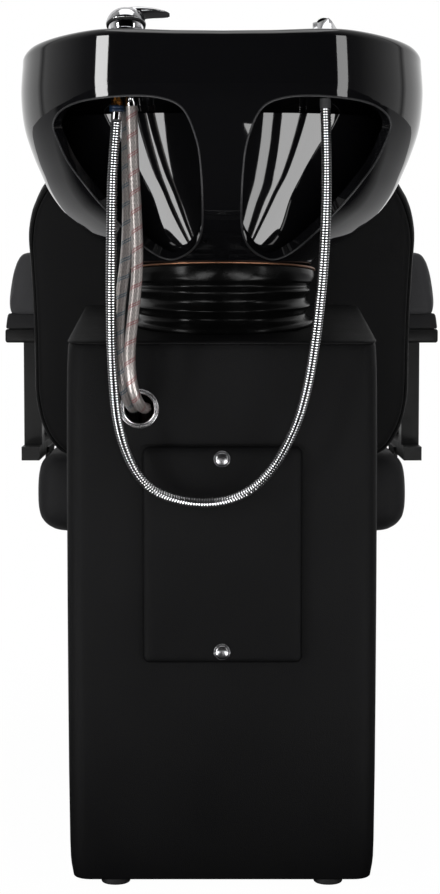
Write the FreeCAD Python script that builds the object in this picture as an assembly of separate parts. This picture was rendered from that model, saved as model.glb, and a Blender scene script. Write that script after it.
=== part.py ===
# Salon backwash unit: a tilting glazed bowl on an upholstered pedestal, joined to an armchair.
# Millimetres. X runs across, +Y from the pedestal's back towards the sitter's feet, +Z up.
import FreeCAD, Part
import math
import os

V = FreeCAD.Vector
UP = V(0, 0, 1)
FORWARD = V(0, 1, 0)
RIGHT = V(1, 0, 0)
ORIGIN = V(0, 0, 0)

# Whole unit
overall_length = 1100.0
rim_height = 945.0
bowl_height = 245.0
bellows_height = 83.0
bowl_overhang = 90.0
rear_y = bowl_overhang - overall_length / 2
seat_front_y = overall_length / 2
cut_overrun = 40.0
soft_gap = 0.3
slip = 0.2
running_slip = 0.05
neck_height = rim_height - bowl_height

# Pedestal
pedestal_width = 346.0
pedestal_depth = 345.0
board = 18.0
foot_height = 9.5
foot_radius = 16.5
foot_spread = 121.0
foot_inset = 21.0
edge_radius = 18.0
top_back_height = neck_height - bellows_height
top_rise_deg = 6.4
top_pad = 12.0
top_round = 7.0
top_hole_radius = 85.0
mounting_board_drop = 19.0
mounting_hole_radius = 50.0
service_half_width = 130.0
service_start = 60.0
service_end = 240.0
front_y = rear_y + pedestal_depth
inner_half_width = pedestal_width / 2 - board
base_top = foot_height + board
mounting_board_height = top_back_height - mounting_board_drop

# Access panel and its fixings
panel_width = 174.0
panel_height = 242.0
panel_drop = 117.5
panel_pad = 12.0
panel_corner = 6.0
panel_round = 4.0
panel_rim = 27.0
screw_radius = 2.5
screw_bite = 13.0
screw_head_radius = 5.0
screw_head_height = 3.0
cap_radius = 8.3
cap_height = 5.0
screw_edge_gap = 13.0
panel_bottom = top_back_height - panel_drop - panel_height

# Hose grommet in the pedestal's back
grommet_x = -92.0
grommet_drop = 75.0
grommet_radius = 21.5
grommet_bore = 16.5
grommet_flange = 3.5
grommet_wall = 1.9
grommet_tail = 4.0
grommet_crest_share = 0.5
grommet_height = top_back_height - grommet_drop

# Bowl
bowl_width = 462.0
bowl_length = 530.0
rim_widest_share = 0.368
rim_power = 2.35
ceramic = 12.0
neck_radius = 105.0
neck_depth = 150.0
neck_flange = 14.0
neck_bore = 60.0
outline_points = 32
neck_y = rear_y + neck_depth
bowl_rear_y = -overall_length / 2
rim_front_y = bowl_rear_y + bowl_length
rim_widest_y = bowl_rear_y + rim_widest_share * bowl_length
# Height share above the neck, and the share of the way from the neck's ring to the rim's outline
bowl_flare_shares = [(0.0, 0.0), (0.035, 0.045), (0.09, 0.19), (0.165, 0.42), (0.27, 0.64),
                     (0.4, 0.79), (0.56, 0.89), (0.78, 0.965), (1.0, 1.0)]
# The same, with the share of the inner space's reach towards the front
apron_front_shares = [1.0, 1.0, 1.0, 0.72, 0.5, 0.45, 0.42, 0.4, 0.4]

# Basin inside the bowl
deck_depth = 118.0
deck_thickness = 14.0
basin_front_wall = 34.0
basin_half_width = 196.0
basin_depth = 193.0
basin_floor_radius = 62.0
basin_power = 2.5
basin_flare_shares = [(0.0, 0.0), (0.03, 0.2), (0.1, 0.42), (0.24, 0.66), (0.48, 0.85),
                      (0.75, 0.95), (1.0, 1.0)]
neck_notch_radius = 85.0
neck_notch_dip = 30.0
basin_floor_height = rim_height - basin_depth

# Windows in the rear apron
rib_half_width = 21.0
window_width = 164.0
window_height = 172.0
window_drop = 65.0
window_depth = 150.0
# Share of the width outward from the rib, share of the height down from the top
window_outline_shares = [(0.0, 0.72), (0.012, 0.43), (0.045, 0.25), (0.13, 0.08), (0.28, 0.015),
                         (0.51, 0.0), (0.79, 0.02), (0.94, 0.07), (1.0, 0.15), (0.97, 0.25),
                         (0.9, 0.39), (0.8, 0.52), (0.68, 0.66), (0.52, 0.82), (0.36, 0.95),
                         (0.22, 1.0), (0.09, 0.95), (0.02, 0.86)]
window_top = rim_height - window_drop

# Tilt hinge under the bowl
tilt_axis_drop = 32.0
ear_thickness = 6.0
ear_inner_x = 67.0
ear_width = 36.0
upper_ear_thickness = 5.6
friction_gap = 2.0
plate_thickness = 6.0
lower_plate_half_width = 82.0
lower_plate_half_depth = 60.0
lower_plate_hole = 36.0
upper_plate_radius = 85.0
upper_plate_hole = 40.0
pin_radius = 6.0
pin_head_radius = 9.0
pin_head = 4.4
pin_nut_radius = 10.0
pin_nut = 8.0
bolt_radius = 4.0
bolt_head_radius = 6.8
bolt_head = 5.5
bowl_bolt_circle = 72.0
lower_bolt_x = 62.0
lower_bolt_y = 46.0
tilt_axis_height = neck_height - tilt_axis_drop

# Bellows
bellows_radius = 105.0
bellows_rib = 6.5
bellows_ribs = 5
bellows_wall = 3.0
bellows_seat = 5.0

# Drain and waste
drain_radius = 20.0
drain_wall = 2.0
drain_flange_radius = 34.0
drain_flange = 3.0
drain_thread = 36.0
drain_nut_radius = 32.0
drain_nut = 11.0
drain_seat = 9.0
strainer_radius = 27.0
strainer_thickness = 2.0
strainer_plug = 12.0
strainer_plug_radius = 16.0
strainer_hole = 2.4
strainer_holes = 8
strainer_hole_circle = 22.0
tail_radius = 17.8
tail_length = 84.0
waste_wall = 3.0
waste_grip = 24.0
outlet_end = 12.0
outlet_top = 112.0
outlet_plate = 4.0
outlet_plate_half_depth = 32.0
outlet_plate_overlap = 14.0
drain_thread_end = basin_floor_height - drain_thread
tail_end = drain_thread_end - tail_length

# Mixer tap on the deck
tap_x = -104.0
tap_depth = -30.0
tap_radius = 20.0
tap_flange_radius = 22.5
tap_flange = 3.0
tap_body_height = 11.0
tap_shank_radius = 15.0
tap_shank = 45.0
tap_nut_radius = 23.0
tap_nut = 9.0
tap_height = 34.0
tap_pivot_rise = 14.0
tap_cavity_radius = 15.5
tap_stem_radius = 5.0
tap_stem_depth = 20.0
tap_neck_radius = 13.5
tap_neck_length = 8.0
tap_pin_gap = 0.5
tap_tilt_deg = 18.0
tap_pin_radius = 2.0
tap_pin_reach = 18.0
lever_reach = 45.0
lever_width = 17.0
lever_thickness = 6.0
lever_rise = 7.0
lever_skirt_gap = 2.5
tap_y = rear_y + tap_depth
pivot_height = rim_height + tap_pivot_rise
tap_top = rim_height + tap_height
tap_shank_end = rim_height - tap_shank

# Fittings under the tap
hose_fit_drop = 28.0
outlet_x = -114.0
outlet_depth = -36.0
outlet_nut_radius = 6.2
outlet_nut = 13.0
outlet_tube_radius = 4.0
hot_x = -98.0
hot_depth = -36.0
cold_x = -103.0
cold_depth = -20.5
ferrule_radius = 6.9
ferrule_length = 17.0
ferrule_tube_radius = 4.0
hose_fit_bottom = tap_shank_end - hose_fit_drop

# Shower holder, hand shower and its hose
holder_x = 112.0
holder_depth = -30.0
holder_radius = 17.0
holder_flange = 4.0
holder_socket = 8.3
holder_socket_depth = 10.0
holder_shank_radius = 9.5
holder_bore = 7.0
holder_nut_radius = 15.0
holder_nut = 8.0
guide_drop = 64.0
guide_height = 9.0
guide_radius = 10.5
shower_tail_radius = 8.0
shower_neck_radius = 9.5
shower_neck_rise = 15.2
shower_bend_depth = 42.0
shower_grip_radius = 11.0
shower_grip_length = 105.0
shower_grip_drop_deg = 8.0
shower_head_radius = 25.0
shower_head_thickness = 16.0
spray_face_thickness = 4.0
spray_face_radius = 21.0
holder_y = rear_y + holder_depth
guide_bottom = rim_height - guide_drop
shower_neck_height = rim_height + shower_neck_rise
hose_radius = 6.0
hose_bore = 4.2
hose_ribs = 190
hose_rib_depth = 0.9
hose_cuff = 12.0
# The shower hose's route: across, depth behind the pedestal's back, height
shower_hose_route = [(-114, -36, 865.4), (-119, -37, 812), (-120, -39, 750), (-121, -41, 670),
                     (-120, -41, 590), (-114, -38, 516), (-88, -36, 459), (-44, -35, 440.5),
                     (4, -35, 439.5), (48, -35, 464), (80, -35, 519), (95, -36, 570),
                     (104, -37, 632), (111, -37, 705), (114, -36, 780), (113.5, -32, 840),
                     (112, -30, 880.4)]
outlet_collar = 6.0

# Braided supply hoses
braid_radius = 6.25
hot_hose_route = [(-98, -36, 871.6), (-97, -36, 826), (-94, -37, 768), (-91, -40, 704),
                  (-96, -45, 650), (-101, -51, 606), (-99, -48, 572), (-92, -34, 549),
                  (-86.5, -10, 542.5), (-85.4, 18, 542), (-85.4, 46, 539), (-86, 72, 524),
                  (-88, 90, 494), (-90, 97, 454), (-90.5, 99, 408), (-90, 100, 364)]
cold_hose_route = [(-103, -20.5, 871.6), (-104, -20, 826), (-103, -19, 770), (-104, -19, 716),
                   (-111, -22, 668), (-114, -28, 622), (-110.5, -30.5, 585), (-105.5, -24, 557),
                   (-99.8, -5, 543.5), (-98.6, 18, 542), (-98.6, 46, 540), (-101, 74, 527),
                   (-107, 94, 497), (-112, 101, 456), (-113.5, 103, 409), (-114, 104, 364)]
union_nut_radius = 10.5
union_nut_length = 20.0
union_thread_radius = 7.5
union_thread_length = 12.0
route_bend_share = 0.45

# Seat plinth, seat and arms
bowl_gap = 68.0
plinth_width = 320.0
plinth_front = 860.0
seat_base_height = 341.0
seat_board = 14.0
seat_half_width = 251.0
seat_back_gap = 32.0
seat_frame_half_width = 220.0
seat_frame_inset = 30.0
seat_frame_height = 66.0
seat_rail = 22.0
seat_edge_height = 436.0
seat_crown = 12.0
seat_side_bulge = 7.0
seat_draw = 5.0
seat_end_pinch = 22.0
seat_bevel = 15.0
arm_inner_x = 232.0
arm_outer_x = 300.0
arm_rear_gap = 32.0
arm_front = 950.0
arm_board_height = 601.0
arm_board = 19.0
arm_band = 21.0
arm_crown_rise = 121.0
arm_post_inner_x = 255.0
arm_post_outer_x = 280.0
arm_post_depth = 40.0
arm_post_inset = 60.0
rail_bottom = 436.0
rail_height = 19.0
rail_overhang = 45.0
tab_thickness = 6.0
tab_length = 90.0
tab_drop = 64.0
tab_bolt_share = 0.3
back_bottom_depth = rim_front_y - rear_y + bowl_gap
seat_back = back_bottom_depth + seat_back_gap
arm_rear = seat_back + arm_rear_gap
arm_crown_height = arm_board_height + arm_crown_rise

# Backrest
back_bottom = 447.0
back_length = 400.0
back_lean_deg = 8.6
back_panel = 12.0
back_half_width = 250.0
back_boxing = 8.0
back_cushion = 66.0
back_corner_low = 70.0
back_corner_high = 60.0
back_draw = 5.0
bracket_x = 110.0
bracket_width = 50.0
bracket_thickness = 6.0
bracket_rise = 150.0
bracket_low = 350.0
bracket_jog_height = 440.0
back_bolt_shares = (0.45, 0.85)


def box(x0, x1, y0, y1, z0, z1):
    return Part.makeBox(x1 - x0, y1 - y0, z1 - z0, V(x0, y0, z0))


def rod(radius, start, end):
    return Part.makeCylinder(radius, (end - start).Length, start, end - start)


def side_profile(points, x0, x1):
    """Extrude a closed outline of (y, z) points from x0 to x1."""
    corners = [V(x0, y, z) for y, z in points]
    return Part.Face(Part.makePolygon(corners + corners[:1])).extrude(V(x1 - x0, 0, 0))


def turned(profile, base, axis=UP):
    """Turn a closed outline of (radius, height) points about axis through base."""
    corners = [V(r, 0, h) for r, h in profile]
    solid = Part.Face(Part.makePolygon(corners + corners[:1])).revolve(ORIGIN, UP, 360)
    solid.Placement = FreeCAD.Placement(base, FreeCAD.Rotation(UP, axis))
    return solid


def hexagon(radius, height, base, axis=UP):
    corners = [V(radius * math.cos(math.radians(a)), radius * math.sin(math.radians(a)), 0)
               for a in range(0, 360, 60)]
    solid = Part.Face(Part.makePolygon(corners + corners[:1])).extrude(V(0, 0, height))
    solid.Placement = FreeCAD.Placement(base, FreeCAD.Rotation(UP, axis))
    return solid


def along(edge, axis):
    """Whether a straight edge runs along axis."""
    if not isinstance(edge.Curve, Part.Line):
        return False
    return abs(edge.Curve.Direction.dot(axis)) > math.cos(math.radians(1))


def rounded(shape, radius, chosen):
    return shape.makeFillet(radius, [edge for edge in shape.Edges if chosen(edge)])


def mirrored(shape):
    return shape.mirror(ORIGIN, RIGHT)


def both_sides(shape):
    return Part.makeCompound([shape, mirrored(shape)])


def mix(a, b, share):
    return a + (b - a) * share


def seat_y(depth):
    """Row position of a depth measured from the pedestal's back."""
    return rear_y + depth


def top_height(y):
    """Height of the pedestal's sloping top at y."""
    return top_back_height + (y - rear_y) * math.tan(math.radians(top_rise_deg))


def save(name, shape):
    shape.exportStep("parts/" + name + ".step")
    print(name, round(shape.Volume), shape.isValid(), len(shape.Solids))


# Pedestal
def sloped_block(z_low, z_high, inset):
    """The pedestal's block between two heights, each a function of y."""
    y0 = rear_y + inset
    y1 = front_y - inset
    half = pedestal_width / 2 - inset
    outline = [(y0, z_low(y0)), (y1, z_low(y1)), (y1, z_high(y1)), (y0, z_high(y0))]
    return side_profile(outline, -half, half)


def floor_line(y):
    return foot_height


def seam_line(y):
    return top_height(y) - top_pad


def panel_screw_heights():
    return [panel_bottom + screw_edge_gap, panel_bottom + panel_height - screw_edge_gap]


def pedestal_shell():
    shell = rounded(sloped_block(floor_line, seam_line, 0), edge_radius, lambda e: along(e, UP))
    hollow = box(-inner_half_width, inner_half_width, rear_y + board, front_y - board,
                 foot_height - cut_overrun, top_height(front_y) + cut_overrun)
    shell = shell.cut(hollow)
    grommet_centre = V(grommet_x, rear_y, grommet_height)
    reach = FORWARD * board
    hole_radius = grommet_bore + grommet_wall + slip
    shell = shell.cut(rod(hole_radius, grommet_centre - reach, grommet_centre + reach))
    half = panel_width / 2 - panel_rim
    shell = shell.cut(box(-half, half, rear_y - cut_overrun, rear_y + board + slip,
                          panel_bottom + panel_rim, panel_bottom + panel_height - panel_rim))
    for height in panel_screw_heights():
        mouth = V(0, rear_y - slip, height)
        shell = shell.cut(rod(screw_radius, mouth, V(0, rear_y + screw_bite, height)))
    return shell


def pedestal_top():
    top = sloped_block(seam_line, top_height, 0)
    top = rounded(top, edge_radius, lambda e: e.Length < top_pad * 2)
    upper = [f for f in top.Faces if f.normalAt(0, 0).z > math.cos(math.radians(top_rise_deg * 2))][0]
    top = top.makeFillet(top_round, upper.Edges)
    hole = rod(top_hole_radius, V(0, neck_y, mounting_board_height), V(0, neck_y, rim_height))
    return top.cut(hole)


def inner_board(z_top):
    return box(-inner_half_width, inner_half_width, rear_y + board, front_y - board,
               z_top - board, z_top)


def base_board():
    window = box(-service_half_width, service_half_width, rear_y + service_start, rear_y + service_end,
                 foot_height - cut_overrun, base_top + cut_overrun)
    return inner_board(base_top).cut(window)


def lower_bolt_places():
    return [V(sx * lower_bolt_x, neck_y + sy * lower_bolt_y, 0) for sx in (-1, 1) for sy in (-1, 1)]


def mounting_board():
    shelf = inner_board(mounting_board_height)
    low = UP * (mounting_board_height - board - cut_overrun)
    high = UP * (mounting_board_height + cut_overrun)
    shelf = shelf.cut(rod(mounting_hole_radius, V(0, neck_y, low.z), V(0, neck_y, high.z)))
    for place in lower_bolt_places():
        shelf = shelf.cut(rod(bolt_radius + slip, place + low, place + high))
    return shelf


def feet(places):
    pads = [Part.makeCylinder(foot_radius, foot_height, V(x, y, 0)) for x, y in places]
    return Part.makeCompound([rounded(pad, foot_height / 4, is_foot_rim) for pad in pads])


def is_foot_rim(edge):
    return edge.Closed and edge.BoundBox.ZMax < foot_height / 2


def pedestal_feet():
    depths = (rear_y + foot_inset, front_y - foot_inset)
    return feet([(side * foot_spread, y) for side in (-1, 1) for y in depths])


def access_panel():
    half = panel_width / 2
    panel = box(-half, half, rear_y - panel_pad, rear_y, panel_bottom, panel_bottom + panel_height)
    panel = rounded(panel, panel_corner, lambda e: along(e, FORWARD))
    panel = rounded(panel, panel_round, lambda e: e.BoundBox.YMax < rear_y - panel_pad / 2)
    for height in panel_screw_heights():
        mouth = V(0, rear_y - panel_pad - slip, height)
        panel = panel.cut(rod(screw_radius + slip, mouth, V(0, rear_y, height)))
    return panel


def panel_screws():
    screws = []
    for height in panel_screw_heights():
        seat = V(0, rear_y - panel_pad, height)
        head = rod(screw_head_radius, seat - FORWARD * screw_head_height, seat)
        screws.append(head.fuse(rod(screw_radius, seat, V(0, rear_y + screw_bite, height))))
    return Part.makeCompound(screws)


def panel_caps():
    dome = cap_height * cap_height + cap_radius * cap_radius
    ball_radius = dome / (2 * cap_height)
    caps = []
    for height in panel_screw_heights():
        seat = V(0, rear_y - panel_pad, height)
        ball = Part.makeSphere(ball_radius, seat + FORWARD * (ball_radius - cap_height))
        keep = rod(cap_radius * 2, seat - FORWARD * cap_height * 2, seat)
        pocket_floor = seat - FORWARD * (screw_head_height + slip)
        pocket = rod(screw_head_radius + slip, pocket_floor, seat + FORWARD)
        caps.append(ball.common(keep).cut(pocket))
    return Part.makeCompound(caps)


def hose_grommet():
    outer = grommet_bore + grommet_wall
    crest = mix(grommet_bore, grommet_radius, grommet_crest_share)
    profile = [(grommet_bore, -board - grommet_tail), (outer, -board - grommet_tail), (outer, 0),
               (grommet_radius, 0), (grommet_radius, grommet_flange / 2), (crest, grommet_flange),
               (grommet_bore, grommet_flange / 2)]
    return turned(profile, V(grommet_x, rear_y, grommet_height), FORWARD * -1)


# Bowl
def outline(half_width, rear, front, widest, power, z):
    """A closed rounded outline, squarer as power grows, widest at y = widest."""
    points = []
    for i in range(outline_points):
        angle = 2 * math.pi * i / outline_points
        c = math.cos(angle)
        s = math.sin(angle)
        reach = front - widest if s > 0 else widest - rear
        x = half_width * math.copysign(abs(c) ** (2 / power), c)
        y = widest + reach * math.copysign(abs(s) ** (2 / power), s)
        points.append(V(x, y, z))
    curve = Part.BSplineCurve()
    curve.interpolate(points, PeriodicFlag=True)
    return Part.Wire(curve.toShape())


def flare_height(share):
    return mix(neck_height, rim_height, share)


def bowl_outside():
    wires = []
    for height_share, share in bowl_flare_shares:
        wires.append(outline(mix(neck_radius, bowl_width / 2, share),
                             mix(neck_y - neck_radius, bowl_rear_y, share),
                             mix(neck_y + neck_radius, rim_front_y, share),
                             mix(neck_y, rim_widest_y, share), mix(2, rim_power, share),
                             flare_height(height_share)))
    return Part.makeLoft(wires, True)


def apron_space():
    """The space behind the apron, from the neck's flange up to the deck's underside."""
    wires = []
    low = neck_height + neck_flange
    high = rim_height - deck_thickness
    for (height_share, share), front_share in zip(bowl_flare_shares, apron_front_shares):
        front = mix(neck_y + neck_radius, rim_front_y, share) - ceramic
        widest = mix(neck_y, rim_widest_y, share)
        wires.append(outline(mix(neck_radius, bowl_width / 2, share) - ceramic,
                             mix(neck_y - neck_radius, bowl_rear_y, share) + ceramic,
                             mix(widest, front, front_share), widest, mix(2, rim_power, share),
                             flare_height(height_share)))
    space = Part.makeLoft(wires, True)
    reach = bowl_length
    return space.common(box(-reach, reach, neck_y - reach, neck_y + reach, low, high))


def basin_loft(wall, lift):
    """The basin's inner space grown by wall, its floor dropped by lift."""
    wires = []
    rear = bowl_rear_y + deck_depth - wall
    front = rim_front_y - basin_front_wall + wall
    for height_share, share in basin_flare_shares:
        height = mix(basin_floor_height - lift, rim_height, height_share)
        wires.append(outline(mix(basin_floor_radius, basin_half_width, share) + wall,
                             mix(neck_y - basin_floor_radius - wall, rear, share),
                             mix(neck_y + basin_floor_radius + wall, front, share),
                             mix(neck_y, rim_widest_y + ceramic, share),
                             mix(2, basin_power, share), height))
    return Part.makeLoft(wires, True)


def window_cutter(side):
    points = []
    for across_share, down_share in window_outline_shares:
        x = side * (rib_half_width + window_width * across_share)
        points.append(V(x, bowl_rear_y - cut_overrun, window_top - window_height * down_share))
    curve = Part.BSplineCurve()
    curve.interpolate(points, PeriodicFlag=True)
    return Part.Face(Part.Wire(curve.toShape())).extrude(V(0, window_depth + cut_overrun, 0))


def bowl_bolt_places():
    turn = math.radians(45)
    return [V(bowl_bolt_circle * math.cos(turn + math.pi / 2 * i),
              neck_y + bowl_bolt_circle * math.sin(turn + math.pi / 2 * i), 0) for i in range(4)]


def neck_notch():
    height = rim_height - neck_notch_dip + neck_notch_radius
    return rod(neck_notch_radius, V(0, rim_widest_y, height), V(0, seat_front_y, height))


def basin():
    """The tub, cast by itself and luted into the bowl before firing."""
    tub = basin_loft(ceramic, ceramic).cut(basin_loft(0, 0)).cut(neck_notch())
    return tub.cut(rod(drain_radius + slip, V(0, neck_y, neck_height), V(0, neck_y, rim_height)))


def bowl():
    basin_outside = basin_loft(ceramic, ceramic)
    body = bowl_outside().cut(apron_space())
    for side in (-1, 1):
        body = body.cut(window_cutter(side))
    body = body.cut(basin_outside).cut(neck_notch())
    low = neck_height - cut_overrun
    body = body.cut(rod(neck_bore, V(0, neck_y, low), V(0, neck_y, neck_height + neck_flange)))
    body = body.cut(rod(tap_shank_radius + slip, V(tap_x, tap_y, tap_shank_end),
                        V(tap_x, tap_y, tap_top)))
    body = body.cut(rod(holder_shank_radius + slip, V(holder_x, holder_y, tap_shank_end),
                        V(holder_x, holder_y, tap_top)))
    for place in bowl_bolt_places():
        body = body.cut(rod(bolt_radius + slip, place + UP * low,
                            place + UP * (neck_height + neck_flange + bolt_head)))
    return body


# Tilt hinge
def ear(x0, x1, width, z_end):
    """A plate ear with a round end about the tilt axis."""
    centre = V(x0, neck_y, tilt_axis_height)
    low = min(tilt_axis_height, z_end)
    high = max(tilt_axis_height, z_end)
    web = box(x0, x1, neck_y - width / 2, neck_y + width / 2, low, high)
    return web.fuse(rod(width / 2, centre, V(x1, neck_y, tilt_axis_height)))


def axis_hole(radius):
    reach = lower_plate_half_width + cut_overrun
    return rod(radius, V(-reach, neck_y, tilt_axis_height), V(reach, neck_y, tilt_axis_height))


def lower_tilt_bracket():
    low = mounting_board_height
    high = low + plate_thickness
    plate = box(-lower_plate_half_width, lower_plate_half_width, neck_y - lower_plate_half_depth,
                neck_y + lower_plate_half_depth, low, high)
    plate = plate.cut(rod(lower_plate_hole, V(0, neck_y, low), V(0, neck_y, high)))
    side = ear(ear_inner_x, ear_inner_x + ear_thickness, ear_width, low)
    bracket = plate.fuse([side, mirrored(side)]).cut(axis_hole(pin_radius))
    for place in lower_bolt_places():
        bracket = bracket.cut(rod(bolt_radius + slip, place + UP * low, place + UP * high))
    return bracket.removeSplitter()


def lower_bolts():
    """Bolts that hold the lower bracket to the mounting board, each with its nut below."""
    bolts = []
    top = mounting_board_height + plate_thickness
    low = mounting_board_height - board
    for place in lower_bolt_places():
        head = Part.makeCylinder(bolt_head_radius, bolt_head, place + UP * top)
        shank = rod(bolt_radius, place + UP * (low - bolt_head), place + UP * top)
        nut = hexagon(bolt_head_radius, bolt_head, place + UP * (low - bolt_head))
        bolts.append(head.fuse([shank, nut]))
    return Part.makeCompound(bolts)


def upper_ear_span():
    outer = ear_inner_x - friction_gap
    return outer - upper_ear_thickness, outer


def upper_tilt_bracket():
    low = neck_height - plate_thickness
    plate = Part.makeCylinder(upper_plate_radius, plate_thickness, V(0, neck_y, low))
    plate = plate.cut(rod(upper_plate_hole, V(0, neck_y, low), V(0, neck_y, neck_height)))
    inner, outer = upper_ear_span()
    side = ear(inner, outer, ear_width, neck_height)
    bracket = plate.fuse([side, mirrored(side)]).cut(axis_hole(pin_radius + running_slip))
    for place in bowl_bolt_places():
        bracket = bracket.cut(rod(bolt_radius + slip, place + UP * low, place + UP * neck_height))
    return bracket.removeSplitter()


def tilt_pins():
    inner, outer = upper_ear_span()
    head_end = inner - soft_gap
    far = ear_inner_x + ear_thickness + pin_nut
    head = rod(pin_head_radius, V(head_end - pin_head, neck_y, tilt_axis_height),
               V(head_end, neck_y, tilt_axis_height))
    shank = rod(pin_radius, V(head_end, neck_y, tilt_axis_height), V(far, neck_y, tilt_axis_height))
    return both_sides(head.fuse(shank))


def tilt_nuts():
    seat = V(ear_inner_x + ear_thickness, neck_y, tilt_axis_height)
    nut = hexagon(pin_nut_radius, pin_nut, seat, RIGHT)
    return both_sides(nut.cut(rod(pin_radius, seat, seat + RIGHT * pin_nut)))


def friction_washers():
    start = V(ear_inner_x - friction_gap + soft_gap, neck_y, tilt_axis_height)
    end = V(ear_inner_x, neck_y, tilt_axis_height)
    ring = rod(ear_width / 2 - slip, start, end).cut(rod(pin_radius, start, end))
    return both_sides(ring)


def bowl_bolts():
    bolts = []
    low = neck_height - plate_thickness
    high = neck_height + neck_flange
    for place in bowl_bolt_places():
        head = hexagon(bolt_head_radius, bolt_head, place + UP * (low - bolt_head))
        shank = rod(bolt_radius, place + UP * low, place + UP * (high + bolt_head))
        bolts.append(head.fuse(shank))
    return Part.makeCompound(bolts)


def bowl_nuts():
    nuts = []
    seat_height = neck_height + neck_flange
    for place in bowl_bolt_places():
        seat = place + UP * seat_height
        nut = hexagon(bolt_head_radius, bolt_head, seat)
        nuts.append(nut.cut(rod(bolt_radius, seat, seat + UP * bolt_head)))
    return Part.makeCompound(nuts)


def bellows_ring(share, radius):
    """A circle between the pedestal's sloping top and the flat underside of the neck."""
    low = top_height(neck_y) + soft_gap
    high = neck_height - soft_gap
    tilt = math.radians(top_rise_deg) * (1 - share)
    normal = V(0, -math.sin(tilt), math.cos(tilt))
    circle = Part.Circle(V(0, neck_y, mix(low, high, share)), normal, radius)
    circle.XAxis = RIGHT
    return Part.Wire(circle.toShape())


def bellows():
    valley = bellows_radius - bellows_rib
    rib_shares = [(0.1, valley), (0.4, bellows_radius), (0.7, bellows_radius), (0.99, valley)]
    span = neck_height - top_height(neck_y)
    seat_share = bellows_seat / span
    stations = [(0.0, bellows_radius), (seat_share, bellows_radius)]
    for rib in range(bellows_ribs):
        for share, radius in rib_shares:
            stations.append((seat_share + (1 - 2 * seat_share) * (rib + share) / bellows_ribs, radius))
    stations += [(1 - seat_share, bellows_radius), (1.0, bellows_radius)]
    outer = Part.makeLoft([bellows_ring(share, radius) for share, radius in stations], True, True)
    inner_stations = [(share, radius - bellows_wall) for share, radius in stations]
    inner = Part.makeLoft([bellows_ring(share, radius) for share, radius in inner_stations], True, True)
    return outer.cut(inner)


# Drain and waste
def drain_flange_part():
    seat = basin_floor_height
    bore = drain_radius - drain_wall
    lip = seat + drain_flange
    profile = [(bore, drain_thread_end), (drain_radius, drain_thread_end), (drain_radius, seat),
               (drain_flange_radius, seat), (drain_flange_radius, seat + drain_flange / 3),
               (bore + drain_flange, lip), (bore, lip)]
    return turned(profile, V(0, neck_y, 0))


def hair_strainer():
    seat = basin_floor_height + drain_flange + soft_gap
    low = V(0, neck_y, seat - strainer_plug)
    disc = Part.makeCylinder(strainer_radius, strainer_thickness, V(0, neck_y, seat))
    plug = Part.makeCylinder(strainer_plug_radius, strainer_plug, low)
    cup = Part.makeCylinder(strainer_plug_radius - drain_wall, strainer_plug, low)
    holes = [rod(strainer_hole, low, V(0, neck_y, seat + strainer_plug))]
    for i in range(strainer_holes):
        turn = 2 * math.pi * i / strainer_holes
        offset = V(math.cos(turn), math.sin(turn), 0) * (strainer_hole_circle / 2)
        holes.append(holes[0].translated(offset))
    return disc.fuse(plug.cut(cup)).cut(Part.makeCompound(holes)).removeSplitter()


def drain_nut_part():
    top = V(0, neck_y, basin_floor_height - ceramic)
    nut = hexagon(drain_nut_radius, drain_nut, top - UP * drain_nut)
    return nut.cut(rod(drain_radius, top - UP * drain_nut, top))


def tailpiece():
    low = V(0, neck_y, tail_end)
    high = V(0, neck_y, drain_thread_end + drain_seat)
    collar_low = V(0, neck_y, drain_thread_end - drain_seat)
    collar_high = V(0, neck_y, drain_thread_end)
    tube = rod(tail_radius, low, high)
    tube = tube.fuse(rod(drain_radius + drain_wall, collar_low, collar_high))
    return tube.cut(rod(tail_radius - drain_wall, low, high)).removeSplitter()


def waste_hose():
    low = V(0, neck_y, outlet_top - waste_grip)
    high = V(0, neck_y, tail_end + waste_grip)
    bore = tail_radius + slip
    return rod(bore + waste_wall, low, high).cut(rod(bore, low, high))


def waste_outlet():
    low = V(0, neck_y, outlet_end)
    high = V(0, neck_y, outlet_top)
    half = service_half_width + outlet_plate_overlap
    plate = box(-half, half, neck_y - outlet_plate_half_depth, neck_y + outlet_plate_half_depth,
                base_top, base_top + outlet_plate)
    pipe = rod(tail_radius, low, high).fuse(plate)
    return pipe.cut(rod(tail_radius - drain_wall, low, high)).removeSplitter()


# Mixer tap
def tap_pivot():
    return V(tap_x, tap_y, pivot_height)


def tap_tilted(shape):
    """Lean what sits on the tap's body forward about its pivot."""
    return shape.rotated(tap_pivot(), RIGHT, -tap_tilt_deg)


def tap_body():
    deck = V(tap_x, tap_y, rim_height)
    pivot = tap_pivot()
    joint_drop = tap_pivot_rise - tap_body_height
    flange = Part.makeCylinder(tap_flange_radius, tap_flange, deck)
    body = rod(tap_radius, deck, V(tap_x, tap_y, tap_top))
    reach = tap_radius * 2
    above = box(tap_x - reach, tap_x + reach, tap_y - reach, tap_y + reach, pivot_height - joint_drop,
                tap_top + reach)
    body = body.cut(tap_tilted(above))
    neck_top = pivot - UP * (tap_pin_radius + tap_pin_gap)
    neck = tap_tilted(rod(tap_neck_radius, neck_top - UP * tap_neck_length, neck_top))
    shank = rod(tap_shank_radius, V(tap_x, tap_y, tap_shank_end), deck)
    body = flange.fuse([body, neck, shank])
    spindle = rod(tap_stem_radius + running_slip, pivot - UP * tap_stem_depth, V(tap_x, tap_y, tap_top))
    return body.cut(tap_tilted(spindle)).removeSplitter()


def tap_stem():
    pivot = tap_pivot()
    stem = rod(tap_stem_radius, pivot - UP * (tap_stem_depth - soft_gap), pivot + UP * tap_stem_radius)
    pin = rod(tap_pin_radius, pivot - FORWARD * tap_pin_reach, pivot + FORWARD * tap_pin_reach)
    return tap_tilted(stem.fuse(pin)).removeSplitter()


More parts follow.
